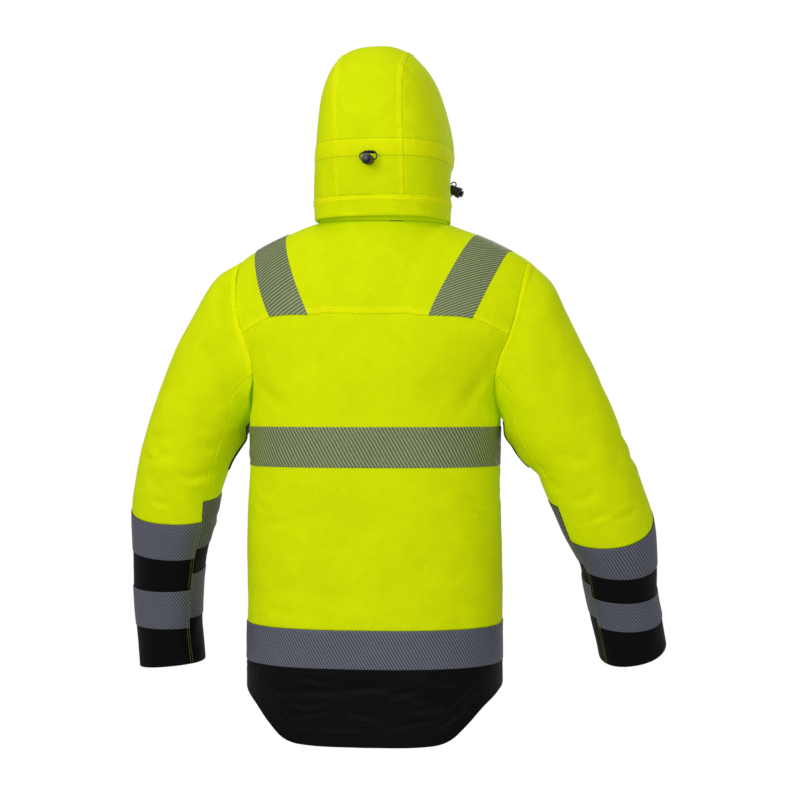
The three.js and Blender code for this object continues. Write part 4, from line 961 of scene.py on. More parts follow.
def stripe_group():
    """Slanting gaps between the segments of a reflective tape, from the cut's own map."""
    tree, given, out = group("Slanted gaps", [
        ("Pitch", "NodeSocketFloat", 0.0065), ("Gap", "NodeSocketFloat", 0.21),
        ("Lean", "NodeSocketFloat", math.radians(60)),
    ], [("Gap mask", "NodeSocketFloat"), ("Height", "NodeSocketFloat")])
    uv = tree.nodes.new("ShaderNodeUVMap")
    uv.uv_map = "cut"
    split = tree.nodes.new("ShaderNodeSeparateXYZ")
    tree.links.new(uv.outputs[0], split.inputs[0])
    s = math_node(tree, "MULTIPLY", split.outputs[0], math_node(tree, "SINE", given.outputs[2]))
    c = math_node(tree, "MULTIPLY", split.outputs[1], math_node(tree, "COSINE", given.outputs[2]))
    wave = math_node(tree, "FRACT", math_node(tree, "DIVIDE", math_node(tree, "ADD", s, c), given.outputs[0]))
    middle = math_node(tree, "ABSOLUTE", math_node(tree, "SUBTRACT", wave, 0.5))
    ramp = tree.nodes.new("ShaderNodeMapRange")
    ramp.interpolation_type = "SMOOTHSTEP"
    tree.links.new(middle, ramp.inputs["Value"])
    half = math_node(tree, "MULTIPLY", given.outputs[1], 0.5)
    tree.links.new(math_node(tree, "ADD", half, 0.03), ramp.inputs["From Min"])
    tree.links.new(math_node(tree, "SUBTRACT", half, 0.03), ramp.inputs["From Max"])
    tree.links.new(ramp.outputs[0], out.inputs[0])
    tree.links.new(math_node(tree, "SUBTRACT", 1.0, ramp.outputs[0]), out.inputs[1])
    return tree


WEAVE, CRINKLE, STRIPES = weave_group(), crinkle_group(), stripe_group()


def placed_group(tree, source, **values):
    made = tree.nodes.new("ShaderNodeGroup")
    made.node_tree = source
    for label, value in values.items():
        made.inputs[label.replace("_", " ")].default_value = value
    return made


def bump(tree, height, strength, distance, before=None):
    made = tree.nodes.new("ShaderNodeBump")
    made.inputs["Strength"].default_value = strength
    made.inputs["Distance"].default_value = distance
    tree.links.new(height, made.inputs["Height"])
    if before is not None:
        tree.links.new(before, made.inputs["Normal"])
    return made.outputs["Normal"]


def cloth_finish(name, light, deep, roughness, sheen, painted_glow=None, weave=0.25, crinkle=0.5, band=None,
                 shine=0.3):
    material, tree, shader = new_material(name)
    threads = placed_group(tree, WEAVE)
    creases = placed_group(tree, CRINKLE)
    colour = mix_colour(tree, threads.outputs["Thread"], deep, light)
    if band:
        felled = tree.nodes.new("ShaderNodeAttribute")
        felled.attribute_name = "fell"
        near = tree.nodes.new("ShaderNodeMapRange")
        near.interpolation_type = "SMOOTHSTEP"
        near.inputs["From Min"].default_value = 10.5
        near.inputs["From Max"].default_value = 8.5
        tree.links.new(felled.outputs["Fac"], near.inputs["Value"])
        colour = mix_colour(tree, near.outputs[0], colour, band)
        # the drawcord channel is a little brighter, and a thin dark line of painted shade runs along each of
        # its edges, beside its two rows of sewing, where a groove would cast shadow
        channel = tree.nodes.new("ShaderNodeAttribute")
        channel.attribute_name = "channel"
        away = math_node(tree, "ABSOLUTE", channel.outputs["Fac"])
        half = (CHANNEL[1] - CHANNEL[0]) / 2
        inside = math_node(tree, "MULTIPLY", math_node(tree, "LESS_THAN", away, half), 0.7)
        colour = mix_colour(tree, inside, colour, band)
        # painted shade: the dark lines along the channel's edges
        off = math_node(tree, "ABSOLUTE", math_node(tree, "SUBTRACT", away, half))
        line = math_node(tree, "MULTIPLY", math_node(tree, "LESS_THAN", off, 0.9), 0.45)
        colour = mix_colour(tree, line, colour, (0.40, 0.50, 0.0, 1))
    # painted shade and light: the crinkle noise makes the colour darker in the hollows of the fine creases
    # and lighter on their ridges
    shade = tree.nodes.new("ShaderNodeMapRange")
    shade.inputs["From Min"].default_value = 0.25
    shade.inputs["From Max"].default_value = 0.75
    shade.inputs["To Min"].default_value = 0.93
    shade.inputs["To Max"].default_value = 1.03
    tree.links.new(creases.outputs["Shade"], shade.inputs["Value"])
    tint = tree.nodes.new("ShaderNodeVectorMath")
    tint.operation = "SCALE"
    tree.links.new(colour, tint.inputs[0])
    tree.links.new(shade.outputs[0], tint.inputs["Scale"])
    tree.links.new(tint.outputs[0], shader.inputs["Base Color"])
    first = bump(tree, creases.outputs["Height"], crinkle, 0.004)
    tree.links.new(bump(tree, threads.outputs["Height"], weave, 0.0004, first), shader.inputs["Normal"])
    rough = tree.nodes.new("ShaderNodeMapRange")
    rough.inputs["To Min"].default_value = roughness - 0.05
    rough.inputs["To Max"].default_value = roughness + 0.08
    tree.links.new(threads.outputs["Thread"], rough.inputs["Value"])
    tree.links.new(rough.outputs[0], shader.inputs["Roughness"])
    shader.inputs["Sheen Weight"].default_value = sheen
    shader.inputs["Sheen Roughness"].default_value = 0.45
    shader.inputs["Specular IOR Level"].default_value = shine
    # painted light: a constant green glow that stands in for the cloth's fluorescence and lifts and greens
    # its shade
    if painted_glow:
        shader.inputs["Emission Color"].default_value = (*painted_glow, 1)
        shader.inputs["Emission Strength"].default_value = 0.1
    return material


def tape_finish(name, segment, gap, pitch, share):
    material, tree, shader = new_material(name)
    stripes = placed_group(tree, STRIPES, Pitch=pitch, Gap=share)
    beads = tree.nodes.new("ShaderNodeTexNoise")
    beads.inputs["Scale"].default_value = 420
    beads.inputs["Detail"].default_value = 4
    place = tree.nodes.new("ShaderNodeTexCoord")
    tree.links.new(place.outputs["Object"], beads.inputs["Vector"])
    grain = mix_colour(tree, beads.outputs["Fac"], tuple(0.82 * v for v in segment) + (1,),
                       tuple(1.15 * v for v in segment) + (1,))
    colour = mix_colour(tree, stripes.outputs["Gap mask"], grain, (*gap, 1))
    tree.links.new(colour, shader.inputs["Base Color"])
    creases = placed_group(tree, CRINKLE, Pucker=0.6)
    first = bump(tree, creases.outputs["Height"], 0.3, 0.003)
    tree.links.new(bump(tree, stripes.outputs["Height"], 0.5, 0.0006, first), shader.inputs["Normal"])
    metal = math_node(tree, "MULTIPLY", stripes.outputs["Height"], 0.25)
    tree.links.new(metal, shader.inputs["Metallic"])
    shader.inputs["Roughness"].default_value = 0.5
    shader.inputs["Specular IOR Level"].default_value = 0.45
    return material


def plain_finish(name, light, deep, roughness, metallic=0.0, scale=240.0, depth=0.0004, strength=0.3):
    """Plastic, metal or thread: fine uneven grain in colour, roughness and height."""
    material, tree, shader = new_material(name)
    place = tree.nodes.new("ShaderNodeTexCoord")
    grain = tree.nodes.new("ShaderNodeTexNoise")
    grain.inputs["Scale"].default_value = scale
    grain.inputs["Detail"].default_value = 4
    tree.links.new(place.outputs["Object"], grain.inputs["Vector"])
    tree.links.new(mix_colour(tree, grain.outputs["Fac"], deep, light), shader.inputs["Base Color"])
    rough = tree.nodes.new("ShaderNodeMapRange")
    rough.inputs["To Min"].default_value = roughness - 0.08
    rough.inputs["To Max"].default_value = roughness + 0.12
    tree.links.new(grain.outputs["Fac"], rough.inputs["Value"])
    tree.links.new(rough.outputs[0], shader.inputs["Roughness"])
    tree.links.new(bump(tree, grain.outputs["Fac"], strength, depth), shader.inputs["Normal"])
    shader.inputs["Metallic"].default_value = metallic
    return material


# the yellow cloth is given a painted glow, a constant green emission that lifts its shade
YELLOW = cloth_finish("hi-vis yellow cloth", (0.80, 0.88, 0.0, 1), (0.68, 0.79, 0.0, 1), 0.7, 0.0,
                      painted_glow=(0.34, 0.74, 0.0), band=(0.87, 0.895, 0.0, 1), shine=0.05)
BLACK = cloth_finish("black cloth", (0.003, 0.003, 0.0042, 1), (0.001, 0.001, 0.0014, 1), 0.5, 0.0, shine=0.1)
TAPE_ON_YELLOW = tape_finish("reflective tape on yellow", (0.125, 0.165, 0.115), (0.55, 0.62, 0.12),
                             0.0047, 0.22)
TAPE_ON_BLACK = tape_finish("reflective tape on black", (0.165, 0.172, 0.225), (0.010, 0.011, 0.014),
                            0.0041, 0.27)
ZIP_BLACK = cloth_finish("zip tape", (0.008, 0.008, 0.009, 1), (0.004, 0.004, 0.005, 1), 0.7, 0.02, shine=0.2)
THREAD_YELLOW = plain_finish("yellow thread", (0.84, 0.87, 0.0, 1), (0.62, 0.68, 0.0, 1), 0.6)
THREAD_GREEN = plain_finish("yellow-green thread", (0.42, 0.62, 0.05, 1), (0.22, 0.36, 0.02, 1), 0.5)
THREAD_BLACK_AND_SLOT_SHADE = plain_finish("black thread and slot shade", (0.012, 0.012, 0.015, 1), (0.005, 0.005, 0.007, 1), 0.5)
THREAD_GREY = plain_finish("grey thread", (0.30, 0.33, 0.27, 1), (0.16, 0.18, 0.15, 1), 0.5)
PLASTIC = plain_finish("black moulded plastic", (0.005, 0.005, 0.006, 1), (0.002, 0.002, 0.0025, 1), 0.26,
                       scale=600.0, depth=0.00015)
CORD_BLACK = plain_finish("black cord", (0.014, 0.014, 0.016, 1), (0.004, 0.004, 0.005, 1), 0.6,
                          scale=1400.0)
METAL = plain_finish("brushed zip metal", (0.50, 0.51, 0.53, 1), (0.32, 0.33, 0.35, 1), 0.32, 1.0,
                     scale=900.0, depth=0.0001)


# Body
def body():
    whole = (0, 2 * SIDE)
    half = (0, SIDE)
    panel("back_yoke_cloth", "back_yoke", "back", whole, (YOKE_ROW, TOP_ROW), YELLOW,
          ("seam", "seam", "fell", "seam"))
    panel("back_panel_cloth", "back_panel", "back", whole, (HEM_TOP, YOKE_ROW), YELLOW,
          ("seam", "seam", "seam", "seam"))
    panel("back_tail_cloth", "back_tail", "back", whole, (0, HEM_TOP), BLACK, ("seam", "seam", "hem", "seam"))
    for name in ("left", "right"):
        ends = ("hem", "seam") if name == "left" else ("seam", "hem")
        panel(f"front_{name}_cloth", f"front_{name}", f"front_{name}", half, (HEM_TOP, TOP_ROW), YELLOW,
              (*ends, "seam", "fell"))
        panel(f"front_{name}_lower_cloth", f"front_{name}_lower", f"front_{name}", half, (0, HEM_TOP), BLACK,
              (*ends, "hem", "seam"))


def tape(name, on, columns, rows, material, along_length=False, joins=("tape", "tape")):
    edges = ("tape", "tape", *joins) if along_length else (*joins, "tape", "tape")
    panel(f"{name}_strip", name, on, columns, rows, material, edges, TAPE, LIFT + TAPE, 4.0,
          along_length=along_length)


def body_tapes():
    for name, rows, material, back, low in (
        ("waist", (WAIST_BOTTOM, WAIST_TOP), TAPE_ON_YELLOW, "back_panel_cloth", ""),
        ("hem", (TAIL_ROWS, HEM_TOP), TAPE_ON_BLACK, "back_tail_cloth", "_lower"),
    ):
        tape(f"{name}_tape_back", "back", (0, 2 * SIDE), rows, material)
        tape(f"{name}_tape_left", "front_left", (0, SIDE), rows, material)
        tape(f"{name}_tape_right", "front_right", (0, SIDE), rows, material)
    for name, back, front in SHOULDER_TAPES:
        tape(f"shoulder_tape_{name}_back", "back", back, (YOKE_ROW, TOP_ROW), TAPE_ON_YELLOW,
             True)
        tape(f"shoulder_tape_{name}_front", f"front_{name}", front, (WAIST_TOP, TOP_ROW), TAPE_ON_YELLOW,
             True)


def sleeve(name):
    on = f"sleeve_{name}"
    top = (FRONT_SEAM, LOOP + BACK_SEAM)
    under = (BACK_SEAM, FRONT_SEAM)
    panel(f"sleeve_{name}_top_cloth", f"sleeve_{name}_top", on, top, (0, CUFF_TOP), YELLOW,
          ("seam", "seam", "fell", "seam"))
    panel(f"sleeve_{name}_under_cloth", f"sleeve_{name}_under", on, under, (0, CUFF_TOP - 1), YELLOW,
          ("seam", "seam", "seam", "seam"))
    panel(f"cuff_{name}_top_cloth", f"cuff_{name}_top", on, top, (CUFF_TOP, CUFF_ROWS), BLACK,
          ("seam", "seam", "seam", "hem"))
    panel(f"cuff_{name}_under_cloth", f"cuff_{name}_under", on, under, (CUFF_TOP - 1, CUFF_ROWS), BLACK,
          ("seam", "seam", "seam", "hem"))
    for place, (first, last) in SLEEVE_TAPES.items():
        tape(f"sleeve_tape_{name}_{place}_top", on, top, (first, last), TAPE_ON_BLACK)
        tape(f"sleeve_tape_{name}_{place}_under", on, under, (first - 1, last - 1), TAPE_ON_BLACK)
    panel(f"vent_{name}_strip", f"vent_{name}", on, VENT[name], (1, 7), ZIP_BLACK,
          ("tape", "tape", "tape", "tape"), 1.2, LIFT + 1.2)


def hood():
    left, right = HOOD_SEAMS
    panel("hood_face_band_cloth", "hood_face_band", "hood", (0, HOOD_COLUMNS), (0, 1), YELLOW,
          ("seam", "seam", "hem", "seam"))
    panel("hood_left_cloth", "hood_left", "hood", (0, left), (1, HOOD_ROWS), YELLOW,
          ("seam", "seam", "seam", "seam"))
    panel("hood_centre_cloth", "hood_centre", "hood", (left, right), (1, HOOD_ROWS), YELLOW,
          ("fell", "fell", "seam", "seam"))
    panel("hood_right_cloth", "hood_right", "hood", (right, HOOD_COLUMNS), (1, HOOD_ROWS), YELLOW,
          ("seam", "seam", "seam", "seam"))
    panel("hood_base_band_cloth", "hood_base_band", "band", (0, 2 * HOOD_ROWS + HOOD_COLUMNS), (0, 2), YELLOW,
          ("hem", "hem", "hem", "fell"), spacing=3.5)
    panel("collar_cloth", "collar", "collar", (0, 16), (0, 3), YELLOW, ("hem", "hem", "seam", "hem"))


TEETH = {"pitch": 2.8, "wide": 2.4, "long": 1.0, "high": 0.75, "aside": 0.75}


def front_zip():
    half = ZIP["chain"] / (2 * ZIP["half"])
    rows = (0, TOP_ROW + 3)
    panel("zip_tape_right_strip", "zip_tape_right", "zip", (0, 0.5 - half), rows, ZIP_BLACK,
          ("tape", "tape", "tape", "tape"), 1.2)
    panel("zip_tape_left_strip", "zip_tape_left", "zip", (0.5 + half, 1), rows, ZIP_BLACK,
          ("tape", "tape", "tape", "tape"), 1.2)
    panel("zip_chain_strip", "zip_chain", "zip", (0.5 - half, 0.5 + half), rows, ZIP_BLACK,
          ("tape", "tape", "tape", "tape"), 2.4, 0.0)
    # teeth of the two sides in turn, on the chain
    surface = SURFACES["zip"]
    line = along((0.5, 0.5), rows, 1200)
    run = surface.points(line[:, 0][:, None], line[:, 1][:, None])[:, 0]
    run = np.concatenate([[0], np.cumsum(np.linalg.norm(np.diff(run, axis=0), axis=1))])
    at = np.arange(TEETH["pitch"], run[-1] - TEETH["pitch"], TEETH["pitch"] / 2)
    r = np.interp(at, run, line[:, 1])
    c = np.full_like(r, 0.5)
    middle, n = surface.points(c[:, None], r[:, None])[:, 0], surface.normals(c[:, None], r[:, None])[:, 0]
    ahead = surface.points(c[:, None], (r + 0.02)[:, None])[:, 0] - middle
    ahead /= np.linalg.norm(ahead, axis=1, keepdims=True)
    side = np.cross(n, ahead)
    aside = np.where(np.arange(len(at)) % 2, 1, -1) * TEETH["aside"]
    middle = relief("zip", middle, n) + side * aside[:, None]
    corners = [(x, y, z) for z in (-0.2, TEETH["high"]) for y in (-1, 1) for x in (-1, 1)]
    points = np.stack([middle + side * x * TEETH["wide"] / 2 + ahead * y * TEETH["long"] / 2 + n * z
                       for x, y, z in corners], 1)
    faces = np.array([
        (2, 3, 1, 0), (5, 7, 6, 4), (1, 5, 4, 0), (3, 7, 5, 1), (2, 6, 7, 3), (0, 4, 6, 2),
    ])
    faces = (faces[None] + np.arange(len(at))[:, None, None] * 8).reshape(-1, 4)
    small_piece("zip_teeth", points.reshape(-1, 3), faces.tolist(), METAL)


def stitches():
    """Rows of sewing. Two rows on each felled seam, one along each tape and hem."""
    yellow, green, grey, black = [], [], [], []
    inner, outer = 1.7, 7.2  # the two rows on a felled seam, in mm from it
    felled = dict(height=0.9)

    def twice(store, on, line, near, far, **more):
        for aside in (near, far):
            store.append(dict(on=on, line=line, aside=aside, **more))

    whole, half = (0, 2 * SIDE), (0, SIDE)
    left, right = HOOD_SEAMS
    # hood: the centre panel's seams, the drawcord channel, the base band, the face edge
    twice(yellow, "hood", along((left, left), (1, HOOD_ROWS)), inner, outer, **felled)
    twice(yellow, "hood", along((right, right), (1, HOOD_ROWS)), -inner, -outer, **felled)
    for height in CHANNEL:
        yellow.append(dict(on="hood", line=hood_level(height)))
    twice(yellow, "band", along((0, 2 * HOOD_ROWS + HOOD_COLUMNS), (2, 2), 400), -inner, -outer, **felled)
    yellow.append(dict(on="band", line=along((0, 2 * HOOD_ROWS + HOOD_COLUMNS), (0, 0), 400), aside=2.4))
    yellow.append(dict(on="hood", line=along((0, HOOD_COLUMNS), (1, 1)), aside=2.0))
    yellow.append(dict(on="hood", line=along((0, HOOD_COLUMNS), (0, 0)), aside=-2.6))
    # body
    twice(yellow, "back", along(whole, (YOKE_ROW, YOKE_ROW)), inner, outer, **felled)
    for name in ("left", "right"):
        twice(yellow, f"front_{name}", along(half, (TOP_ROW, TOP_ROW)), -inner, -outer, **felled)
        zip_edge = (0, 0) if name == "left" else (SIDE, SIDE)
        aside = -6.0 if name == "left" else 6.0
        yellow.append(dict(on=f"front_{name}", line=along(zip_edge, (HEM_TOP, TOP_ROW), 400), aside=aside))
        black.append(dict(on=f"front_{name}", line=along(half, (0, 0)), aside=17))
        black.append(dict(on=f"front_{name}", line=along(zip_edge, (0, TAIL_ROWS)), aside=aside))
    black.append(dict(on="back", line=along(whole, (0, 0), 300), aside=17))
    black.append(dict(on="back", line=along(whole, (0, 0), 300), aside=11.5))
    yellow.append(dict(on="collar", line=along((0, 16), (3, 3)), aside=-4))
    # sleeves
    for name in ("left", "right"):
        on = f"sleeve_{name}"
        turn = 1 if name == "right" else -1
        armhole = along((FRONT_SEAM, LOOP + BACK_SEAM), (0, 0), 300)
        twice(yellow, on, armhole, turn * inner, turn * outer, **felled)
        twice(green, on, along((BACK_SEAM, BACK_SEAM), (CUFF_TOP, CUFF_ROWS), 300), turn * 1.5, turn * 6.2,
              height=1.6)
        black.append(dict(on=on, line=along((0, LOOP), (CUFF_ROWS, CUFF_ROWS), 200), aside=-turn * 9))
    # tapes
    lifted = dict(height=LIFT + TAPE + 0.1, long=2.2, thick=0.5)
    for name, body_half in (("back", whole), ("front_left", half), ("front_right", half)):
        for low, high in ((WAIST_BOTTOM, WAIST_TOP), (TAIL_ROWS, HEM_TOP)):
            grey.append(dict(on=name, line=along(body_half, (low, low)), aside=1.6, **lifted))
            grey.append(dict(on=name, line=along(body_half, (high, high)), aside=-1.6, **lifted))
    for name, back, front in SHOULDER_TAPES:
        parts = ("back", back, (YOKE_ROW, TOP_ROW)), (f"front_{name}", front, (WAIST_TOP, TOP_ROW))
        for on, columns, rows in parts:
            grey.append(dict(on=on, line=along((columns[0],) * 2, rows), aside=-1.6, **lifted))
            grey.append(dict(on=on, line=along((columns[1],) * 2, rows), aside=1.6, **lifted))
    for name in ("left", "right"):
        turn = 1 if name == "right" else -1
        for first, last in SLEEVE_TAPES.values():
            for columns, step in (((FRONT_SEAM, LOOP + BACK_SEAM), 0), ((BACK_SEAM, FRONT_SEAM), 1)):
                line = along(columns, (first - step,) * 2)
                grey.append(dict(on=f"sleeve_{name}", line=line, aside=turn * 1.6, **lifted))
                line = along(columns, (last - step,) * 2)
                grey.append(dict(on=f"sleeve_{name}", line=line, aside=-turn * 1.6, **lifted))
    sewing("stitches_yellow", THREAD_YELLOW, yellow)
    sewing("stitches_cuffs", THREAD_GREEN, green)
    sewing("stitches_tapes", THREAD_GREY, grey)
    sewing("stitches_black", THREAD_BLACK_AND_SLOT_SHADE, black)


# Hardware
def activate(thing):
    bpy.ops.object.select_all(action="DESELECT")
    thing.select_set(True)
    bpy.context.view_layer.objects.active = thing


def cylinder(radius, low, high, vertices=40, rotation=(0, 0, 0)):
    """A cylinder along z, in mm, with its place in its mesh."""
    bpy.ops.object.select_all(action="DESELECT")
    middle = (low + high) / 2 * MM
    bpy.ops.mesh.primitive_cylinder_add(vertices=vertices, radius=radius * MM, depth=(high - low) * MM,
                                        location=(0, 0, middle), rotation=rotation)
    bpy.ops.object.transform_apply(location=True, rotation=True, scale=True)
    return bpy.context.object


def joined(thing, tool, operation):
    modifier = thing.modifiers.new("joined", "BOOLEAN")
    modifier.object, modifier.operation, modifier.solver = tool, operation, "EXACT"
    activate(thing)
    bpy.ops.object.modifier_apply(modifier=modifier.name)
    bpy.data.objects.remove(tool, do_unlink=True)


def rounded(thing, width, segments=2, angle=30):
    modifier = thing.modifiers.new("rounded", "BEVEL")
    modifier.width, modifier.segments = width * MM, segments
    modifier.limit_method, modifier.angle_limit = "ANGLE", math.radians(angle)
    activate(thing)
    bpy.ops.object.modifier_apply(modifier=modifier.name)
    bpy.ops.object.shade_smooth_by_angle(angle=math.radians(35))


def placed(thing, base, axis, across):
    """Turned and moved so that z is the axis and x is across, with the place in the mesh."""
    third = Vector(axis).cross(Vector(across))
    matrix = Matrix((Vector(across), third, Vector(axis))).transposed().to_4x4()
    matrix.translation = Vector(base) * MM
    thing.matrix_world = matrix
    activate(thing)
    bpy.ops.object.transform_apply(location=True, rotation=True, scale=True)


LOCK = {"flange": 8.4, "waist": 7.2, "length": 19.0, "bore": 7.0, "hole": 1.35}


def cord_lock(name, base, axis, across):
    barrel = cylinder(LOCK["waist"], 1.5, LOCK["length"] - 1.5)
    joined(barrel, cylinder(LOCK["flange"] - 0.9, 0.3, 4.4), "UNION")
    joined(barrel, cylinder(LOCK["flange"], 12.6, LOCK["length"]), "UNION")
    for low in (6.0, 8.4, 10.8):
        joined(barrel, cylinder(LOCK["waist"] + 0.55, low - 0.6, low + 0.6), "UNION")
    rounded(barrel, 0.5)
    bore = cylinder(LOCK["hole"], -12, 12, 16, (0, math.pi / 2, 0))
    activate(bore)
    bore.location = (0, 0, LOCK["bore"] * MM)
    bpy.ops.object.transform_apply(location=True, rotation=True, scale=True)
    joined(barrel, bore, "DIFFERENCE")
    barrel.name = f"cord_lock_{name}_barrel"
    button = cylinder(5.0, LOCK["length"] + 0.3, LOCK["length"] + 4.3)
    rounded(button, 1.1, 3)
    button.name = f"cord_lock_{name}_button"
    for thing, node in ((barrel, f"cord_lock_{name}"), (button, f"cord_lock_button_{name}")):
        placed(thing, base, axis, across)
        thing.data.materials.clear()
        thing.data.materials.append(PLASTIC)
        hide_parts(node)
        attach(thing, "jacket")
    return barrel, button


def drawcord(name, route, lock):
    route = np.round(np.array(route, float), 2)[:, None, :]
    line = spline(route, np.linspace(0, len(route) - 1, 97)[:, None])[:, 0] * MM
    curve = bpy.data.curves.new(f"cord_{name}_line", "CURVE")
    curve.dimensions, curve.bevel_depth, curve.bevel_resolution = "3D", CORD / 2 * MM, 3
    curve.use_fill_caps = True
    run = curve.splines.new("POLY")
    run.points.add(len(line) - 1)
    for point, place in zip(run.points, line):
        point.co = (*place, 1)
    curve.materials.append(CORD_BLACK)
    thing = bpy.data.objects.new(f"cord_{name}_line", curve)
    bpy.context.scene.collection.objects.link(thing)
    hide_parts(f"cord_{name}")
    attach(thing, "jacket")


# The cords' routes and the locks' places are those of the part. A side loop is given by the two points
# where it leaves the cloth, and the back one as it lies before the hood is turned.
CORD = 2.0
SIDE_EXITS = {
    "left": [(-73.27, 93.28, 66), (-64.51, 90.11, 47)],
    "right": [(92.55, 75.85, 66), (83.33, 74.58, 47)],
}
SIDE_REACH = 15.0
SIDE_TILT = math.radians(-25)
SIDE_LOOP = [
    (12.4, -5.2), (11.2, -1.4), (8.8, -0.1), (4, 0), (-4, 0), (-8.8, -0.1), (-11.2, -1.4), (-12.4, -5.2),
]
BACK_LOOP = {"x": 4, "z": 80, "slot": 7, "rise": 11, "bow": 13, "seat": 0.6}


def turned_way(x, y, z):
    c, s = math.cos(TURN), math.sin(TURN)
    return np.array([x * c - y * s, x * s + y * c, z])


def side_lock(name, mirror):
    upper, lower = np.array(SIDE_EXITS[name], float)
    out = turned_way(mirror, 0, 0)
    axis = turned_way(mirror * math.cos(SIDE_TILT), 0, math.sin(SIDE_TILT))
    across = turned_way(-mirror * math.sin(SIDE_TILT), 0, math.cos(SIDE_TILT))
    middle = (upper + lower) / 2 + SIDE_REACH * out
    loop = [middle + along_it * across + sideways * axis for along_it, sideways in SIDE_LOOP]
    route = [upper, upper + 3 * out, *loop, lower + 3 * out, lower]
    drawcord(name, route, cord_lock(name, middle - axis * LOCK["bore"], axis, across))


def back_lock():
    x, z, slot, rise, bow, seat = BACK_LOOP.values()
    from_neck_to_crown = HOOD[3:][::-1]
    surface, leave = read(from_neck_to_crown, [z, z + rise], column=0, key=1) - seat
    bore = surface - LOCK["bore"]

    def side(mirror):
        return [
            (x + mirror * slot, leave, z + rise), (x + mirror * slot * 1.08, leave - 2.5, z + rise),
            (x + mirror * (bow - 1.2), leave - 5.2, z + rise - 2), (x + mirror * bow, bore, z + 4.6),
            (x + mirror * (bow - 1.4), bore, z + 1.3), (x + mirror * (bow - 4), bore, z + 0.1),
            (x + mirror * (bow - 9), bore, z),
        ]

    route = turned(np.array(side(-1) + side(1)[::-1], float))
    lock = cord_lock("back", turned_way(x, surface, z), turned_way(0, -1, 0), turned_way(1, 0, 0))
    drawcord("back", route, lock)


def zip_castings():
    """The slider and its pull tab, as rounded copies of the solids."""
    for node, body in (("zip_slider", "jacket"), ("zip_pull_tab", "pull_tab")):
        activate(frame["nodes"][node])
        bpy.ops.object.duplicate()
        thing = bpy.context.object
        bpy.ops.object.parent_clear(type="CLEAR_KEEP_TRANSFORM")
        bpy.ops.object.transform_apply(location=True, rotation=True, scale=True)
        bpy.ops.object.mode_set(mode="EDIT")
        bpy.ops.mesh.select_all(action="SELECT")
        bpy.ops.mesh.remove_doubles(threshold=0.00001)
        bpy.ops.object.mode_set(mode="OBJECT")
        thing.name = f"{node}_cast"
        rounded(thing, 0.35, 2, 25)
        thing.data.materials.clear()
        thing.data.materials.append(METAL)
        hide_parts(node)
        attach(thing, body)


SLOT = {"x": -8.6, "z": 91.5, "half_long": 10.5, "half_high": 3.0, "count": 32, "step": 0.02,
        "rings": [(1.0, 0.1), (0.82, 0.55), (0.4, 0.2)]}  # each ring's share of the size, and its height


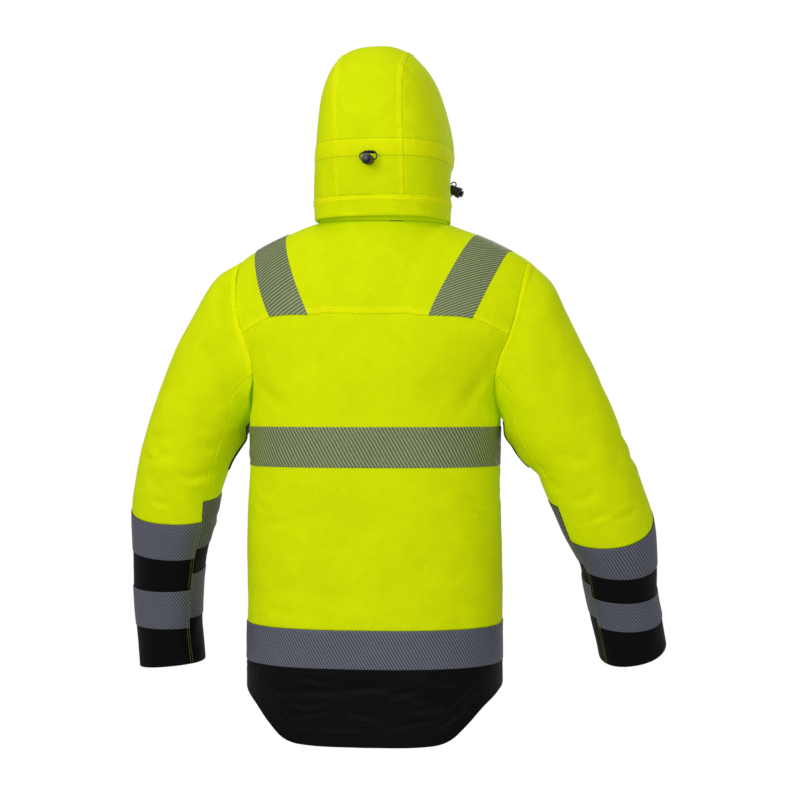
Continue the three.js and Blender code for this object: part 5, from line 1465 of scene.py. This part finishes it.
def slot():
    """The slot that the back loop comes out of, in the lower line of the channel: a low dark oval of painted
    shade that stands for the shadow inside the opening.
    """
    surface = SURFACES["hood"]
    line = hood_level(SLOT["z"])
    at = surface.points(line[:, 0][:, None], line[:, 1][:, None])[:, 0]
    count = SLOT["count"]
    angle = np.arange(count) / count * 2 * math.pi
    rings = []
    for share, height in SLOT["rings"]:
        x = SLOT["x"] + share * SLOT["half_long"] * np.cos(angle)
        dz = share * SLOT["half_high"] * np.sin(angle)
        c = np.interp(x, at[:, 0], line[:, 0])
        r = np.interp(x, at[:, 0], line[:, 1])
        above = surface.points(c[:, None], (r + SLOT["step"])[:, None])
        climb = (above - surface.points(c[:, None], r[:, None]))[:, 0, 2]
        r = r + dz / climb * SLOT["step"]
        n = surface.normals(c[:, None], r[:, None])[:, 0]
        p = relief("hood", surface.points(c[:, None], r[:, None])[:, 0], n)
        rings.append(p + n * height)
    points = np.concatenate(rings + [rings[-1].mean(0)[None]])
    faces = []
    last = (len(rings) - 1) * count
    for first in range(0, last, count):
        for i in range(count):
            k = (i + 1) % count
            faces.append((first + i, first + k, first + count + k, first + count + i))
    faces += [(last + i, last + (i + 1) % count, last + count) for i in range(count)]
    # painted shade: the dark thread finish darkens the slot's opening
    small_piece("channel_slot_shade", points, faces, THREAD_BLACK_AND_SLOT_SHADE)


body()
body_tapes()
for side_name in ("left", "right"):
    sleeve(side_name)
hood()
front_zip()
stitches()
side_lock("left", -1)
side_lock("right", 1)
back_lock()
zip_castings()
slot()


# Camera and light. Lamps: name, place and size in metres, watts
LAMPS = [
    ("key", (-1.2, -2.4, 0.9), 1.6, 28), ("fill", (0.8, -2.6, 0.2), 1.8, 12),
    ("top", (-0.3, -0.5, 2.5), 2.0, 10), ("front", (0.4, 2.8, 0.8), 2.0, 24),
]


def studio():
    world = bpy.data.worlds.new("studio")
    world.use_nodes = True
    tree = world.node_tree
    back = tree.nodes["Background"]
    back.inputs["Color"].default_value = (1, 1, 1, 1)
    path = tree.nodes.new("ShaderNodeLightPath")
    strength = tree.nodes.new("ShaderNodeMix")
    strength.inputs["A"].default_value = 0.38
    strength.inputs["B"].default_value = 1.0
    tree.links.new(path.outputs["Is Camera Ray"], strength.inputs["Factor"])
    tree.links.new(strength.outputs["Result"], back.inputs["Strength"])
    bpy.context.scene.world = world
    for name, place, size, power in LAMPS:
        light = bpy.data.lights.new(name, "AREA")
        light.size, light.energy = size, power
        lamp = bpy.data.objects.new(name, light)
        bpy.context.scene.collection.objects.link(lamp)
        lamp.location = place
        lamp.rotation_euler = (Vector((0, 0, -0.25)) - Vector(place)).to_track_quat("-Z", "Y").to_euler()
    camera = bpy.data.cameras.new("camera")
    camera.lens, camera.sensor_width = 78.4, 36
    eye = bpy.data.objects.new("camera", camera)
    bpy.context.scene.collection.objects.link(eye)
    away = np.array([math.sin(CAMERA_TURN), -math.cos(CAMERA_TURN), 0.0])
    eye.location = (TARGET + away * CAMERA_DISTANCE) * MM
    eye.rotation_euler = (math.pi / 2, 0, CAMERA_TURN)
    bpy.context.scene.camera = eye
    bpy.context.scene.view_settings.view_transform = "Standard"


studio()
for name, (wide, tall, area) in CUTS.items():
    print("cut", name, round(wide, 3), round(tall, 3), round(area, 4))
